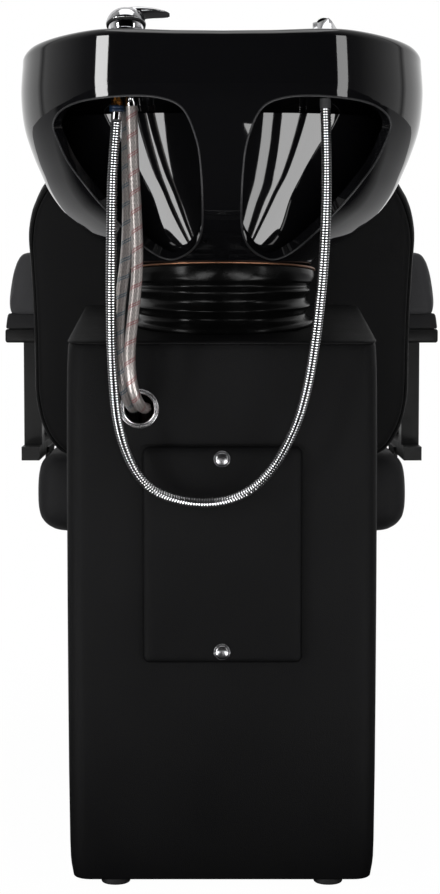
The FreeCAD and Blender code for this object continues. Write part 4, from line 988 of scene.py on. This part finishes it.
def pedestal_cover():
    """Upholstered box: soft corners, a tucked hem and a drawn seam under the top."""
    # Share of the height and how far the cover is drawn in there
    girths = [(0.0, 0.0046), (0.0015, 0.0038), (0.004, 0.0034), (0.012, 0.0026), (0.024, 0.0014), (0.038, 0.0006),
              (0.07, 0.0), (0.2, -0.0008), (0.35, -0.0012), (0.5, -0.0014), (0.65, -0.0014), (0.8, -0.0012),
              (0.9, -0.0008), (0.95, -0.0004), (0.975, 0.0003), (0.988, 0.0006), (0.996, 0.0011), (1.0, 0.002)]
    loops = []
    for share, by in girths:
        loop = []
        for x, y in drawn_in(pedestal_line, pedestal_centre, by):
            seam = top_at(y) - top_pad
            z = mix(foot_height, seam, share)
            loop.append(Vector((x, y - pucker(x, y) * ease((share - 0.8) / 0.2), z)))
        loops.append(loop)
    piece = lofted("pedestal_cover", loops)
    finish_with(piece, "SOLIDIFY", thickness=0.017, offset=-1.0)
    hole = begin("grommet_hole", bpy.ops.mesh.primitive_cylinder_add, vertices=64, radius=0.0186, depth=0.08,
                 location=grommet_spot, rotation=(math.pi / 2, 0, 0))
    finish_with(piece, "BOOLEAN", object=hole, operation="DIFFERENCE", solver="EXACT")
    bpy.data.objects.remove(hole)
    door = block("panel_opening", (-0.06, rear_y - 0.03, 0.2845), (0.06, rear_y + 0.03, 0.4725))
    finish_with(piece, "BOOLEAN", object=door, operation="DIFFERENCE", solver="EXACT")
    bpy.data.objects.remove(door)
    smooth(piece, 40)
    hold(piece, "stand", "upholstery", upholstery, "pedestal_shell")


def pedestal_top_pad():
    """Thin padded lid with a hole for the waste and the tilt brackets."""
    # How far the cover is drawn in, and its rise over the seam
    edge = [(0.002, 0.0002), (0.0009, 0.0007), (0.0003, 0.0014), (0.0003, 0.0023), (0.0012, 0.0034),
            (0.0032, 0.0042), (0.007, 0.0046), (0.013, 0.0048)]
    hole = 0.085
    loops = [[Vector((x, y - pucker(x, y), top_at(y) - top_pad + rise))
              for x, y in drawn_in(pedestal_line, pedestal_centre, by)] for by, rise in edge]
    rim = loops[-1]
    ring = []
    for point in rim:
        way = math.atan2(point.y - neck_y, point.x)
        x, y = hole * math.cos(way), neck_y + hole * math.sin(way)
        ring.append(Vector((x, y, top_at(y))))
    for share in (0.12, 0.3, 0.5, 0.7, 0.9):
        crown = 0.0012 * math.sin(math.pi * share)
        loops.append([a.lerp(b, share) + Vector((0, 0, crown)) for a, b in zip(rim, ring)])
    loops.append(ring)
    loops.append([point - Vector((0, 0, top_pad - 0.0004)) for point in ring])
    loops.append(loops[0])
    piece = lofted("pedestal_top_pad", loops)
    smooth(piece, 50)
    hold(piece, "stand", "upholstery", upholstery, "pedestal_top")


def rear_access_panel():
    """Padded panel with a drawn edge and dimples at its two screws, on a near-black band that paints the shadow
    round its edge.
    """
    low, high = (-0.0885, 0.2575), (0.0895, 0.4995)
    centre = (0.0005, (low[1] + high[1]) / 2)
    line = rounded_box_line(low, high, 0.0075, 0.006)
    # How far the cover is drawn in, and how far it stands out
    profile = [(0.0022, 0.0004), (0.0006, 0.0026), (0.0, 0.0055), (0.0007, 0.0085), (0.0026, 0.0108),
               (0.006, 0.0121), (0.012, 0.0126), (0.022, 0.0129), (0.04, 0.013), (0.06, 0.013), (0.089, 0.013)]
    dimple = 0.0012
    loops = []
    for by, out in profile:
        loop = []
        for x, z in drawn_in(line, centre, by):
            dent = sum(dimple * math.exp(-((x / 0.016) ** 2 + ((z - height) / 0.014) ** 2))
                       for height in reversed(screw_heights))
            loop.append(Vector((x, rear_y - max(0.0004, out - dent), z)))
        loops.append(loop)
    piece = lofted("rear_access_panel", loops)
    smooth(piece, 50)
    hold(piece, "stand", "upholstery", panel_leather, "access_panel")
    # A near-black band just round the panel's edge: painted shadow.
    shadow_band_profile = [(-0.0042, -0.0016), (-0.004, 0.0006), (-0.003, 0.0012), (0.002, 0.0012), (0.004, 0.0004),
               (0.004, -0.0016)]
    loops = [[Vector((x, rear_y - out, z)) for x, z in drawn_in(line, centre, by)] for by, out in shadow_band_profile]
    edging = lofted("panel_shadow_band", loops + loops[:1])
    smooth(edging, 50)
    hold(edging, "stand", "upholstery", dark_leather)


def panel_screw_caps():
    """Chrome domes that snap over the panel's screws."""
    profile = [(0.0, 0.0044), (0.0035, 0.00425), (0.0058, 0.0038), (0.0068, 0.0033), (0.0076, 0.0024),
               (0.008, 0.0016), (0.0083, 0.0012), (0.0088, 0.0016), (0.0093, 0.0013), (0.0095, 0.0006),
               (0.0094, 0.0), (0.0, 0.0)]
    for word, height, replaced in zip(("upper", "lower"), screw_heights, (["panel_caps"], [])):
        turned_piece(word + "_panel_cap", profile, (0, -0.4718, height), (0, -1, 0), 48, 60,
                     "stand", "chrome", cap_chrome, *replaced)


def hose_grommet_ring():
    """Chrome ring with two beads round the hole that the supply hoses enter."""
    profile = [(0.0165, -0.022), (0.0184, -0.022), (0.0184, 0.0), (0.0221, 0.0), (0.0224, 0.001),
               (0.022, 0.0022), (0.0211, 0.0028), (0.0202, 0.0025), (0.0197, 0.0016), (0.0193, 0.0013),
               (0.0189, 0.0018), (0.0182, 0.0031), (0.0174, 0.0035), (0.0167, 0.003), (0.0164, 0.0018)]
    turned_piece("hose_grommet_ring", profile, grommet_spot, (0, -1, 0), 64, 50,
                 "stand", "chrome", satin_chrome, "hose_grommet")


# Cushions
def span_of(piece):
    """Least and greatest place of a piece along each axis."""
    places = [vertex.co for vertex in piece.data.vertices]
    return [(min(place[k] for place in places), max(place[k] for place in places)) for k in range(3)]


def plump(piece, voxel, cap, flat_below=None):
    """Remesh a pad, swell it with air pressure, and keep each point within a cap of where it was."""
    reach = span_of(piece)
    finish_with(piece, "REMESH", mode="VOXEL", voxel_size=voxel)
    rest = [vertex.co.copy() for vertex in piece.data.vertices]
    pick(piece)
    cloth = piece.modifiers.new("Cloth", "CLOTH")
    cloth.settings.use_pressure = True
    cloth.settings.uniform_pressure_force = 4.0
    cloth.settings.effector_weights.gravity = 0.0
    cloth.settings.quality = 5
    frames = 20
    cloth.point_cache.frame_start = 1
    cloth.point_cache.frame_end = frames
    for number in range(1, frames + 1):
        bpy.context.scene.frame_set(number)
    bpy.ops.object.modifier_apply(modifier="Cloth")
    bpy.context.scene.frame_set(1)
    for vertex, home in zip(piece.data.vertices, rest):
        step = vertex.co - home
        if step.length > cap:
            vertex.co = home + step * (cap / step.length)
        if flat_below is not None and vertex.co.z < flat_below:
            vertex.co.z = flat_below
    finish_with(piece, "SMOOTH", factor=0.5, iterations=4)
    finish_with(piece, "SUBSURF", levels=1, render_levels=1)
    now = span_of(piece)
    for vertex in piece.data.vertices:
        for k in range(3):
            share = (vertex.co[k] - now[k][0]) / (now[k][1] - now[k][0])
            vertex.co[k] = mix(reach[k][0], reach[k][1], share)
    smooth(piece)


def seat_pad():
    """Boxed seat cushion with a crowned top and sides drawn in between its corners."""
    centre = (0, 0.3145)
    line = rounded_box_line((-0.2562, 0.0835), (0.2562, 0.5455), 0.024, 0.012)
    # Height and how far the cover is drawn in there
    girths = [(0.3385, 0.06), (0.3387, 0.036), (0.3405, 0.024), (0.345, 0.0145), (0.351, 0.008),
              (0.359, 0.0036), (0.369, 0.0009), (0.381, 0.0), (0.402, 0.0), (0.42, 0.0008), (0.434, 0.003),
              (0.443, 0.007), (0.4485, 0.014), (0.4515, 0.028), (0.453, 0.06)]
    loops = [[Vector((x, y, z)) for x, y in drawn_in(line, centre, by)] for z, by in girths]
    piece = lofted("seat_pad", closed_ends(loops))
    plump(piece, 0.006, 0.003, flat_below=girths[0][0])
    hold(piece, "stand", "upholstery", lit_seat_leather, "seat_cushion")


def leaned(x, depth, height):
    """From the upright backrest to its lean; depth from its rear face, height from its lower edge."""
    c, s = math.cos(back_lean), math.sin(back_lean)
    return Vector((x, 0.048 + depth * c - height * s, 0.447 + depth * s + height * c))


def back_line(half, low, high, step=0.012):
    """The backrest's outline: elliptical corners, rounder above, and drawn-in sides that splay upwards."""
    spread = (high - low) / back_height
    (a0, b0), (a1, b1) = ((a * spread, b * spread) for a, b in ((0.048, 0.093), (0.089, 0.111)))
    right = [(half - a0 + a0 * c, low + b0 + b0 * s) for c, s in arc((0, 0), 1, -90, 0, 12)]
    right += [(half - back_draw * math.sin(math.pi * s), mix(low + b0, high - b1, s)) for s in (0.2, 0.4, 0.6, 0.8)]
    right += [(half - a1 + a1 * c, high - b1 + b1 * s) for c, s in arc((0, 0), 1, 0, 90, 12)]
    right = [(x * mix(0.978, 1.014, h / back_height), h) for x, h in right]
    return stretched(right + [(-x, h) for x, h in reversed(right)], step)


def back_shape(name, stations):
    """A backrest piece; stations are depth and how far the outline stands out, ends drawn to a middle."""
    loops = []
    for depth, proud in stations:
        line = back_line(0.2545 + proud, -proud, back_height + proud)
        loops.append([leaned(x, depth, h) for x, h in line])
    count = min(len(loop) for loop in loops)
    loops = [[loop[int(i * len(loop) / count)] for i in range(count)] for loop in loops]
    for end in (0, -1):
        middle = sum(loops[end], Vector()) / count
        inner = [point.lerp(middle, 0.5) for point in loops[end]]
        hub = [middle] * count
        loops = [hub, inner] + loops if end == 0 else loops + [inner, hub]
    return lofted(name, loops)


def back_pad():
    """Crowned back cushion in front of the welt."""
    stations = [(0.0135, -0.0015), (0.02, 0.002), (0.034, 0.0035), (0.05, 0.003), (0.062, -0.002),
                (0.069, -0.013), (0.073, -0.034), (0.075, -0.07)]
    piece = back_shape("back_pad", stations)
    plump(piece, 0.006, 0.003)
    hold(piece, "stand", "upholstery", upholstery, "back_cushion")


def back_rear_panel():
    """Covered rear board, softly domed, its edge tucked into the welt."""
    stations = [(-0.0006, -0.06), (0.0, -0.024), (0.0008, -0.012), (0.0024, -0.0068), (0.005, -0.0042),
                (0.009, -0.003), (0.0118, -0.004)]
    piece = back_shape("back_rear_panel", stations)
    finish_with(piece, "SUBSURF", levels=1, render_levels=1)
    smooth(piece)
    hold(piece, "stand", "upholstery", upholstery, "back_panel")


def welt(name, line, radius, *held):
    """A round edging along a closed line of points, and what hold takes."""
    count = len(line)
    loops = []
    bearings = [2 * math.pi * k / 10 for k in range(10)]
    for i in range(count):
        along = (line[(i + 1) % count] - line[i - 1]).normalized()
        side = Vector((0, 1, 0))
        side = (side - along * side.dot(along)).normalized()
        other = along.cross(side)
        loops.append([line[i] + (side * math.cos(turn) + other * math.sin(turn)) * radius for turn in bearings])
    loops.append(loops[0])
    piece = lofted(name, loops)
    smooth(piece)
    hold(piece, *held)


def back_welt():
    """Piping between the rear panel and the back cushion."""
    line = [leaned(x, 0.0122, h) for x, h in back_line(0.2527, 0.0018, 0.3982, 0.007)]
    welt("back_welt", line, 0.0022, "stand", "upholstery", dark_leather)


def window_lips():
    """Rolled lip round each window, in a lighter grey that paints the highlight along the edge."""
    for side, word in ((-1, "left"), (1, "right")):
        line = [on_shell(spot.x, spot.y) for spot in window_line(side)]
        welt(word + "_window_lip", line, 0.0012, "bowl", "glaze", lip_highlight_paint)


# Arms
def arm_sections(side):
    """Closed sections of the arm's bolster from its rear end to its front end."""
    half_width, height = 0.0296, 0.0875
    # Share of the length, of the width and of the height
    rows = [(0.0, 0.74, 0.84), (0.004, 0.88, 0.93), (0.014, 0.97, 0.985), (0.04, 1.0, 1.0), (0.15, 1.02, 1.01),
            (0.3, 1.05, 1.02), (0.5, 1.06, 1.02), (0.7, 1.05, 1.0), (0.85, 1.03, 0.97), (0.94, 0.98, 0.9),
            (0.982, 0.9, 0.76), (0.996, 0.78, 0.6), (1.0, 0.6, 0.48)]
    # Half of the trapezoid section: share of the width, share of the height
    half_section = [(0.96, 0.0), (1.0, 0.05), (0.985, 0.16), (0.9, 0.42), (0.77, 0.64), (0.63, 0.81), (0.48, 0.93),
                    (0.3, 0.985)]
    loops = []
    for share, width_share, rise_share in rows:
        half, rise = half_width * width_share, height * rise_share
        section = [(half * w, arm_base + rise * h) for w, h in half_section] + [(0.0, arm_base + rise)]
        section += [(-x, z) for x, z in reversed(section[:-1])]
        y = mix(arm_start, arm_end, share)
        loops.append([Vector((side * arm_middle + x, y, z)) for x, z in section])
    return closed_ends(loops)


def arm(side, word):
    """Bolster on a padded band on a plank."""
    pad = lofted("arm_bolster_" + word, arm_sections(side))
    finish_with(pad, "SUBSURF", levels=1, render_levels=1)
    plump(pad, 0.004, 0.0025, flat_below=arm_base)
    hold(pad, "stand", "upholstery", lit_arm_leather, "arm_pad_" + word)
    middle = side * arm_middle
    band_line = rounded_box_line((middle - 0.0335, 0.1125), (middle + 0.0335, 0.4895), 0.006, 0.012)
    centre = (middle, 0.301)
    profile = [(0.0014, 0.6204), (0.0006, 0.6212), (0.0004, 0.6235), (0.001, 0.629), (0.0018, 0.635),
               (0.0026, 0.639), (0.004, 0.6412), (0.008, 0.642), (0.03, 0.642)]
    loops = [[Vector((x, y, z)) for x, y in drawn_in(band_line, centre, by)] for by, z in profile]
    under, over = ([Vector((*centre, profile[end][1]))] * len(band_line) for end in (0, -1))
    loops = [under] + loops + [over]
    band = lofted("arm_band_" + word, loops)
    smooth(band, 50)
    hold(band, "stand", "upholstery", lit_seat_leather)
    x0, x1 = sorted((side * 0.232, side * 0.3))
    plank = block("arm_plank_" + word, (x0, arm_start, 0.601), (x1, arm_end, 0.62), 0.0035)
    smooth(plank, 40)
    hold(plank, "stand", "black_plastic", arm_board_paint, "arm_board_" + word)


# Tap and shower
tap_foot = Vector((*tap_spot, 0.959))
tap_axis = Vector((0, math.sin(math.radians(18)), math.cos(math.radians(18))))


def from_tap(u, v, w):
    """A point in the leaning tap's own frame: along the lever, across it, and up its axis."""
    return tap_foot + Vector((u, 0, 0)) + Vector((0, tap_axis.z, -tap_axis.y)) * v + tap_axis * w


def tap_handle():
    """Domed hollow cap that draws out into a flat lever, one casting."""
    dome = [(0.0, 0.0182), (0.0055, 0.0179), (0.0105, 0.0168), (0.015, 0.0145), (0.0184, 0.011),
            (0.0206, 0.0068), (0.0216, 0.0032), (0.0218, 0.0012), (0.0215, 0.0003), (0.02, 0.0003),
            (0.0197, 0.003), (0.0187, 0.0062), (0.0166, 0.0098), (0.0134, 0.0128), (0.0092, 0.0148),
            (0.0045, 0.0157), (0.0, 0.016)]
    piece = turned("tap_handle", dome, tap_foot, tap_axis, 64)
    # Offset along the lever, half width, lower and upper height
    rows = [(-0.008, 0.009, 0.009, 0.015), (-0.004, 0.0125, 0.008, 0.0172), (0.004, 0.014, 0.0075, 0.0182),
            (0.012, 0.0135, 0.008, 0.019), (0.018, 0.0122, 0.0096, 0.0191), (0.0225, 0.0112, 0.0104, 0.0189),
            (0.029, 0.0104, 0.0107, 0.0183), (0.035, 0.0096, 0.0108, 0.0172), (0.0405, 0.0084, 0.0108, 0.0158),
            (0.045, 0.0066, 0.011, 0.0143), (0.0478, 0.004, 0.0114, 0.0131)]
    loops = []
    for u, half, low, high in rows:
        loop = []
        for i in range(24):
            c, s = math.cos(math.pi * i / 12), math.sin(math.pi * i / 12)
            v = half * math.copysign(abs(c) ** 0.8, c)
            hollow = 0.0014 * (1 - c * c) * ease((u - 0.014) / 0.012) if s < 0 else 0.0
            loop.append(from_tap(u, v, mix(low, high, 0.5 + 0.5 * math.copysign(abs(s) ** 0.8, s)) + hollow))
        loops.append(loop)
    lever = lofted("tap_blade", closed_ends(loops))
    deselect()
    lever.select_set(True)
    piece.select_set(True)
    bpy.context.view_layer.objects.active = piece
    bpy.ops.object.join()
    finish_with(piece, "REMESH", mode="VOXEL", voxel_size=0.0007)
    finish_with(piece, "SMOOTH", factor=0.5, iterations=8)
    smooth(piece)
    hold(piece, "tap_lever", "chrome", tap_chrome, "tap_lever")


def tap_base():
    """Flange on the deck, a leaning neck with a ball that the cap turns over, and a dark ring under the cap that
    paints the shade in the gap.
    """
    flange = [(0.0, 0.945), (0.0226, 0.945), (0.0227, 0.9457), (0.022, 0.9466), (0.0208, 0.947), (0.0, 0.947)]
    ball = 0.0192
    neck = [(0.0, -0.0205), (0.0203, -0.0205), (0.0203, -0.0118), (0.0192, -0.0108), (0.0176, -0.0098),
            (0.0171, -0.0088)]
    neck += [(math.sqrt(ball * ball - w * w), w) for w in (-0.0076, -0.0064, -0.005, -0.0036, -0.0022, -0.001)]
    neck += [(0.018, -0.0006), (0.0, -0.0006)]
    ring = [(0.02, -0.0012), (0.0206, -0.0014), (0.0212, -0.001), (0.0213, 0.0006), (0.0206, 0.001),
            (0.02, 0.0006)]
    turned_piece("tap_flange", flange, (*tap_spot, 0), (0, 0, 1), 64, 40,
                 "bowl", "chrome", bright_chrome, "tap_body")
    turned_piece("tap_neck", neck, tap_foot, tap_axis, 64, 40, "bowl", "chrome", bright_chrome)
    # Near-black ring in the gap under the cap: painted shade.
    turned_piece("tap_gap_shade_ring", ring, tap_foot, tap_axis, 64, 40, "tap_lever", "rubber", washer_and_shade_rubber)


def hand_shower():
    """Faceted elbow on a tail in the holder, a swelling grip, and a round head."""
    elbow = Vector((0.112, -0.49, 0.9602))
    facets = [(-0.0138, -0.0104), (-0.0136, 0.0022), (-0.0092, 0.0034), (-0.0082, 0.002), (-0.0026, 0.0046),
              (0.0034, 0.0076), (0.0072, 0.004), (0.013, -0.005), (0.0138, -0.0104)]
    under = facets[0][1]
    # Offset along the grip, share of the size, share of the height
    rows = [(-0.0125, 0.97, 0.08), (0.0025, 1.0, 1.0), (0.014, 1.0, 1.0), (0.028, 0.86, 0.9), (0.042, 0.7, 0.8)]
    loops = [[elbow + Vector((x * share, along, under + (z - under) * height)) for x, z in facets]
             for along, share, height in rows]
    piece = lofted("shower_elbow", closed_ends(loops))
    finish_with(piece, "BEVEL", width=0.0007, segments=2, limit_method="ANGLE", angle_limit=math.radians(12))
    smooth(piece, 20)
    hold(piece, "hand_shower", "chrome", tap_chrome, "hand_shower")
    drop = math.radians(8)
    way = Vector((0, math.cos(drop), -math.sin(drop)))
    bend = elbow + Vector((0, rows[-1][0], 0))
    face = Vector((0, -math.sin(drop), -math.cos(drop)))
    tail = [(0.0, -0.0242), (0.0072, -0.0242), (0.0078, -0.0234), (0.0078, -0.009), (0.0, -0.009)]
    grip = [(0.0, -0.014), (0.0094, -0.013), (0.0097, -0.004), (0.0093, 0.012), (0.0094, 0.035), (0.0102, 0.062),
            (0.0109, 0.085), (0.0109, 0.1), (0.0103, 0.11), (0.0, 0.112)]
    head = [(0.0, -0.008), (0.012, -0.0077), (0.0185, -0.0065), (0.0228, -0.0036), (0.0247, 0.0004),
            (0.025, 0.004), (0.0248, 0.007), (0.0238, 0.008), (0.0213, 0.008), (0.0212, 0.0042), (0.0, 0.0042)]
    for name, profile, base, axis in (("shower_tail", tail, elbow, (0, 0, 1)), ("shower_grip", grip, bend, way),
                                      ("shower_head", head, bend + way * 0.13, face)):
        turned_piece(name, profile, base, axis, 56, 40, "hand_shower", "chrome", bright_chrome)


def carried_over():
    """Solids that keep their shape get their finish."""
    finishes = [
        (ply, "pedestal_base_board mounting_board"),
        (arm_board_paint, "seat_board seat_frame"),
        (upholstery, "plinth_sides plinth_front"),
        (foot_plastic, "pedestal_feet plinth_feet spray_face"),
        (frame_paint, "arm_frame_right arm_frame_left back_brackets arm_bolts back_bolts"),
        (zinc, "panel_screws lower_tilt_bracket lower_bracket_bolts tilt_pins tilt_nuts upper_tilt_bracket "
               "bowl_bolts bowl_nuts tap_stem drain_nut"),
        (bright_chrome, "drain_flange hair_strainer shower_holder hose_guide hose_ferrules hose_tail"),
        (turned_brass, "outlet_fitting tap_lock_nut holder_lock_nut hot_union_nut cold_union_nut"),
        (washer_and_shade_rubber, "friction_washers"),
        (drain_plastic, "waste_outlet drain_tailpiece")]
    for finish, names in finishes:
        for name in names.split():
            for slot in nodes[name].material_slots:
                slot.material = finish


# Studio
def studio_room():
    """White to the camera, grey to the object, and a graded surround in its reflections."""
    bpy.context.scene.view_settings.view_transform = "Standard"
    world = bpy.data.worlds.new("studio")
    bpy.context.scene.world = world
    room = Finish("studio", world)
    path = {word: room.node("ShaderNodeLightPath", output=word)
            for word in ("Is Camera Ray", "Is Glossy Ray", "Is Transmission Ray")}
    way = room.node("ShaderNodeTexCoord", output="Generated")
    ahead = room.node("ShaderNodeSeparateXYZ", None, {0: way}, 1)
    round_object = room.ramp(ahead * 0.5 + 0.5, (0.16, 0.0), (0.3, 0.1), (0.52, 0.5), (0.66, 0.7), (0.7, 0.25),
                             (0.75, 1.0))
    seen = room.node("ShaderNodeMath", {"operation": "MAXIMUM"},
                     {0: path["Is Camera Ray"], 1: path["Is Transmission Ray"]})
    mirrored = room.blend(path["Is Glossy Ray"], (0.34, 0.34, 0.345), round_object)
    colour = room.blend(seen, mirrored, (1.0, 1.0, 1.0))
    room.put(world.node_tree.nodes["Background"].inputs["Color"], colour)


def studio_floor():
    """Floor that the camera sees as white with a trace of shade, and rear reflections see as dark."""
    floor = begin("studio_floor", bpy.ops.mesh.primitive_grid_add, x_subdivisions=4, y_subdivisions=4, size=14)
    sheet = Finish("pale_floor", Roughness=0.9, Specular_IOR_Level=0.0)
    mirror_ray = sheet.node("ShaderNodeLightPath", output="Is Glossy Ray")
    depth = sheet.node("ShaderNodeSeparateXYZ", None, {0: sheet.place()}, 1)
    sheet.set(Base_Color=sheet.blend(mirror_ray * sheet.ramp(depth, (0.0, 1.0), (0.5, 0.0)), (0.9, 0.9, 0.9),
                                     (0.02, 0.02, 0.02)))
    glow = sheet.node("ShaderNodeEmission", None, {"Color": (1.0, 1.0, 1.0)})
    spot = sheet.node("ShaderNodeVectorMath", {"operation": "LENGTH"}, {0: sheet.place()}, 1)
    clear = sheet.ramp(spot * 0.5, (0.15, 0.985), (0.6, 1.0))
    camera_ray = sheet.node("ShaderNodeLightPath", output="Is Camera Ray")
    matt = Wire(sheet, sheet.shader.outputs[0])
    both = sheet.node("ShaderNodeMixShader", None, {0: clear * camera_ray, 1: matt, 2: glow})
    sheet.put(sheet.tree.nodes["Material Output"].inputs["Surface"], both)
    floor.data.materials.append(sheet.owner)


def studio_lamps():
    # Name, place, aim, width and height, watts
    lamps = [("left_strip", (-1.73, -1.73, 0.72), (-0.1, -0.5, 0.85), (0.31, 1.3), 20.0),
             ("right_strip", (1.73, -1.73, 0.72), (0.1, -0.5, 0.85), (0.26, 1.3), 6.0),
             ("left_sweep", (-0.74, -1.72, 0.02), (-0.74, -1.72, 1.0), (0.7, 2.1), 44.0),
             ("right_sweep", (0.72, -1.72, 0.02), (0.72, -1.72, 1.0), (0.62, 2.1), 36.0),
             ("right_card", (0.29, -1.72, 0.02), (0.29, -1.72, 1.0), (0.08, 2.1), 4.0),
             ("high_bank", (0.0, -0.6, 3.0), (0.0, -0.1, 0.6), (2.2, 1.6), 26.0),
             ("front_fill", (0.0, -4.2, 1.7), (0.0, -0.1, 0.6), (2.4, 1.6), 36.0)]
    for name, spot, aim, size, watts in lamps:
        deselect()
        bpy.ops.object.light_add(type="AREA", location=spot)
        lamp = bpy.context.object
        lamp.name = name
        lamp.data.shape = "RECTANGLE"
        lamp.data.size, lamp.data.size_y = size
        lamp.data.energy = watts
        lamp.rotation_mode = "QUATERNION"
        lamp.rotation_quaternion = (Vector(aim) - Vector(spot)).to_track_quat("-Z", "Y")
        lamp.visible_glossy = name != "front_fill"
        lamp.visible_diffuse = "sweep" not in name and "card" not in name


photo_camera()
spiral_shower_hose()
braided_hose("hot_braided_hose", hot_hose_route, "hot_hose", (0.13, 0.005, 0.008), 0.1)
braided_hose("cold_braided_hose", cold_hose_route, "cold_hose", (0.003, 0.045, 0.075), 0.55)
ribbed_waste_hose()
glazed_bowl()
window_lips()
basin_underside()
bellows_sleeve()
neck_bead()
outlet_seal()
pedestal_cover()
pedestal_top_pad()
rear_access_panel()
panel_screw_caps()
hose_grommet_ring()
seat_pad()
back_pad()
back_rear_panel()
back_welt()
arm(-1, "left")
arm(1, "right")
tap_handle()
tap_base()
hand_shower()
carried_over()
studio_room()
studio_floor()
studio_lamps()
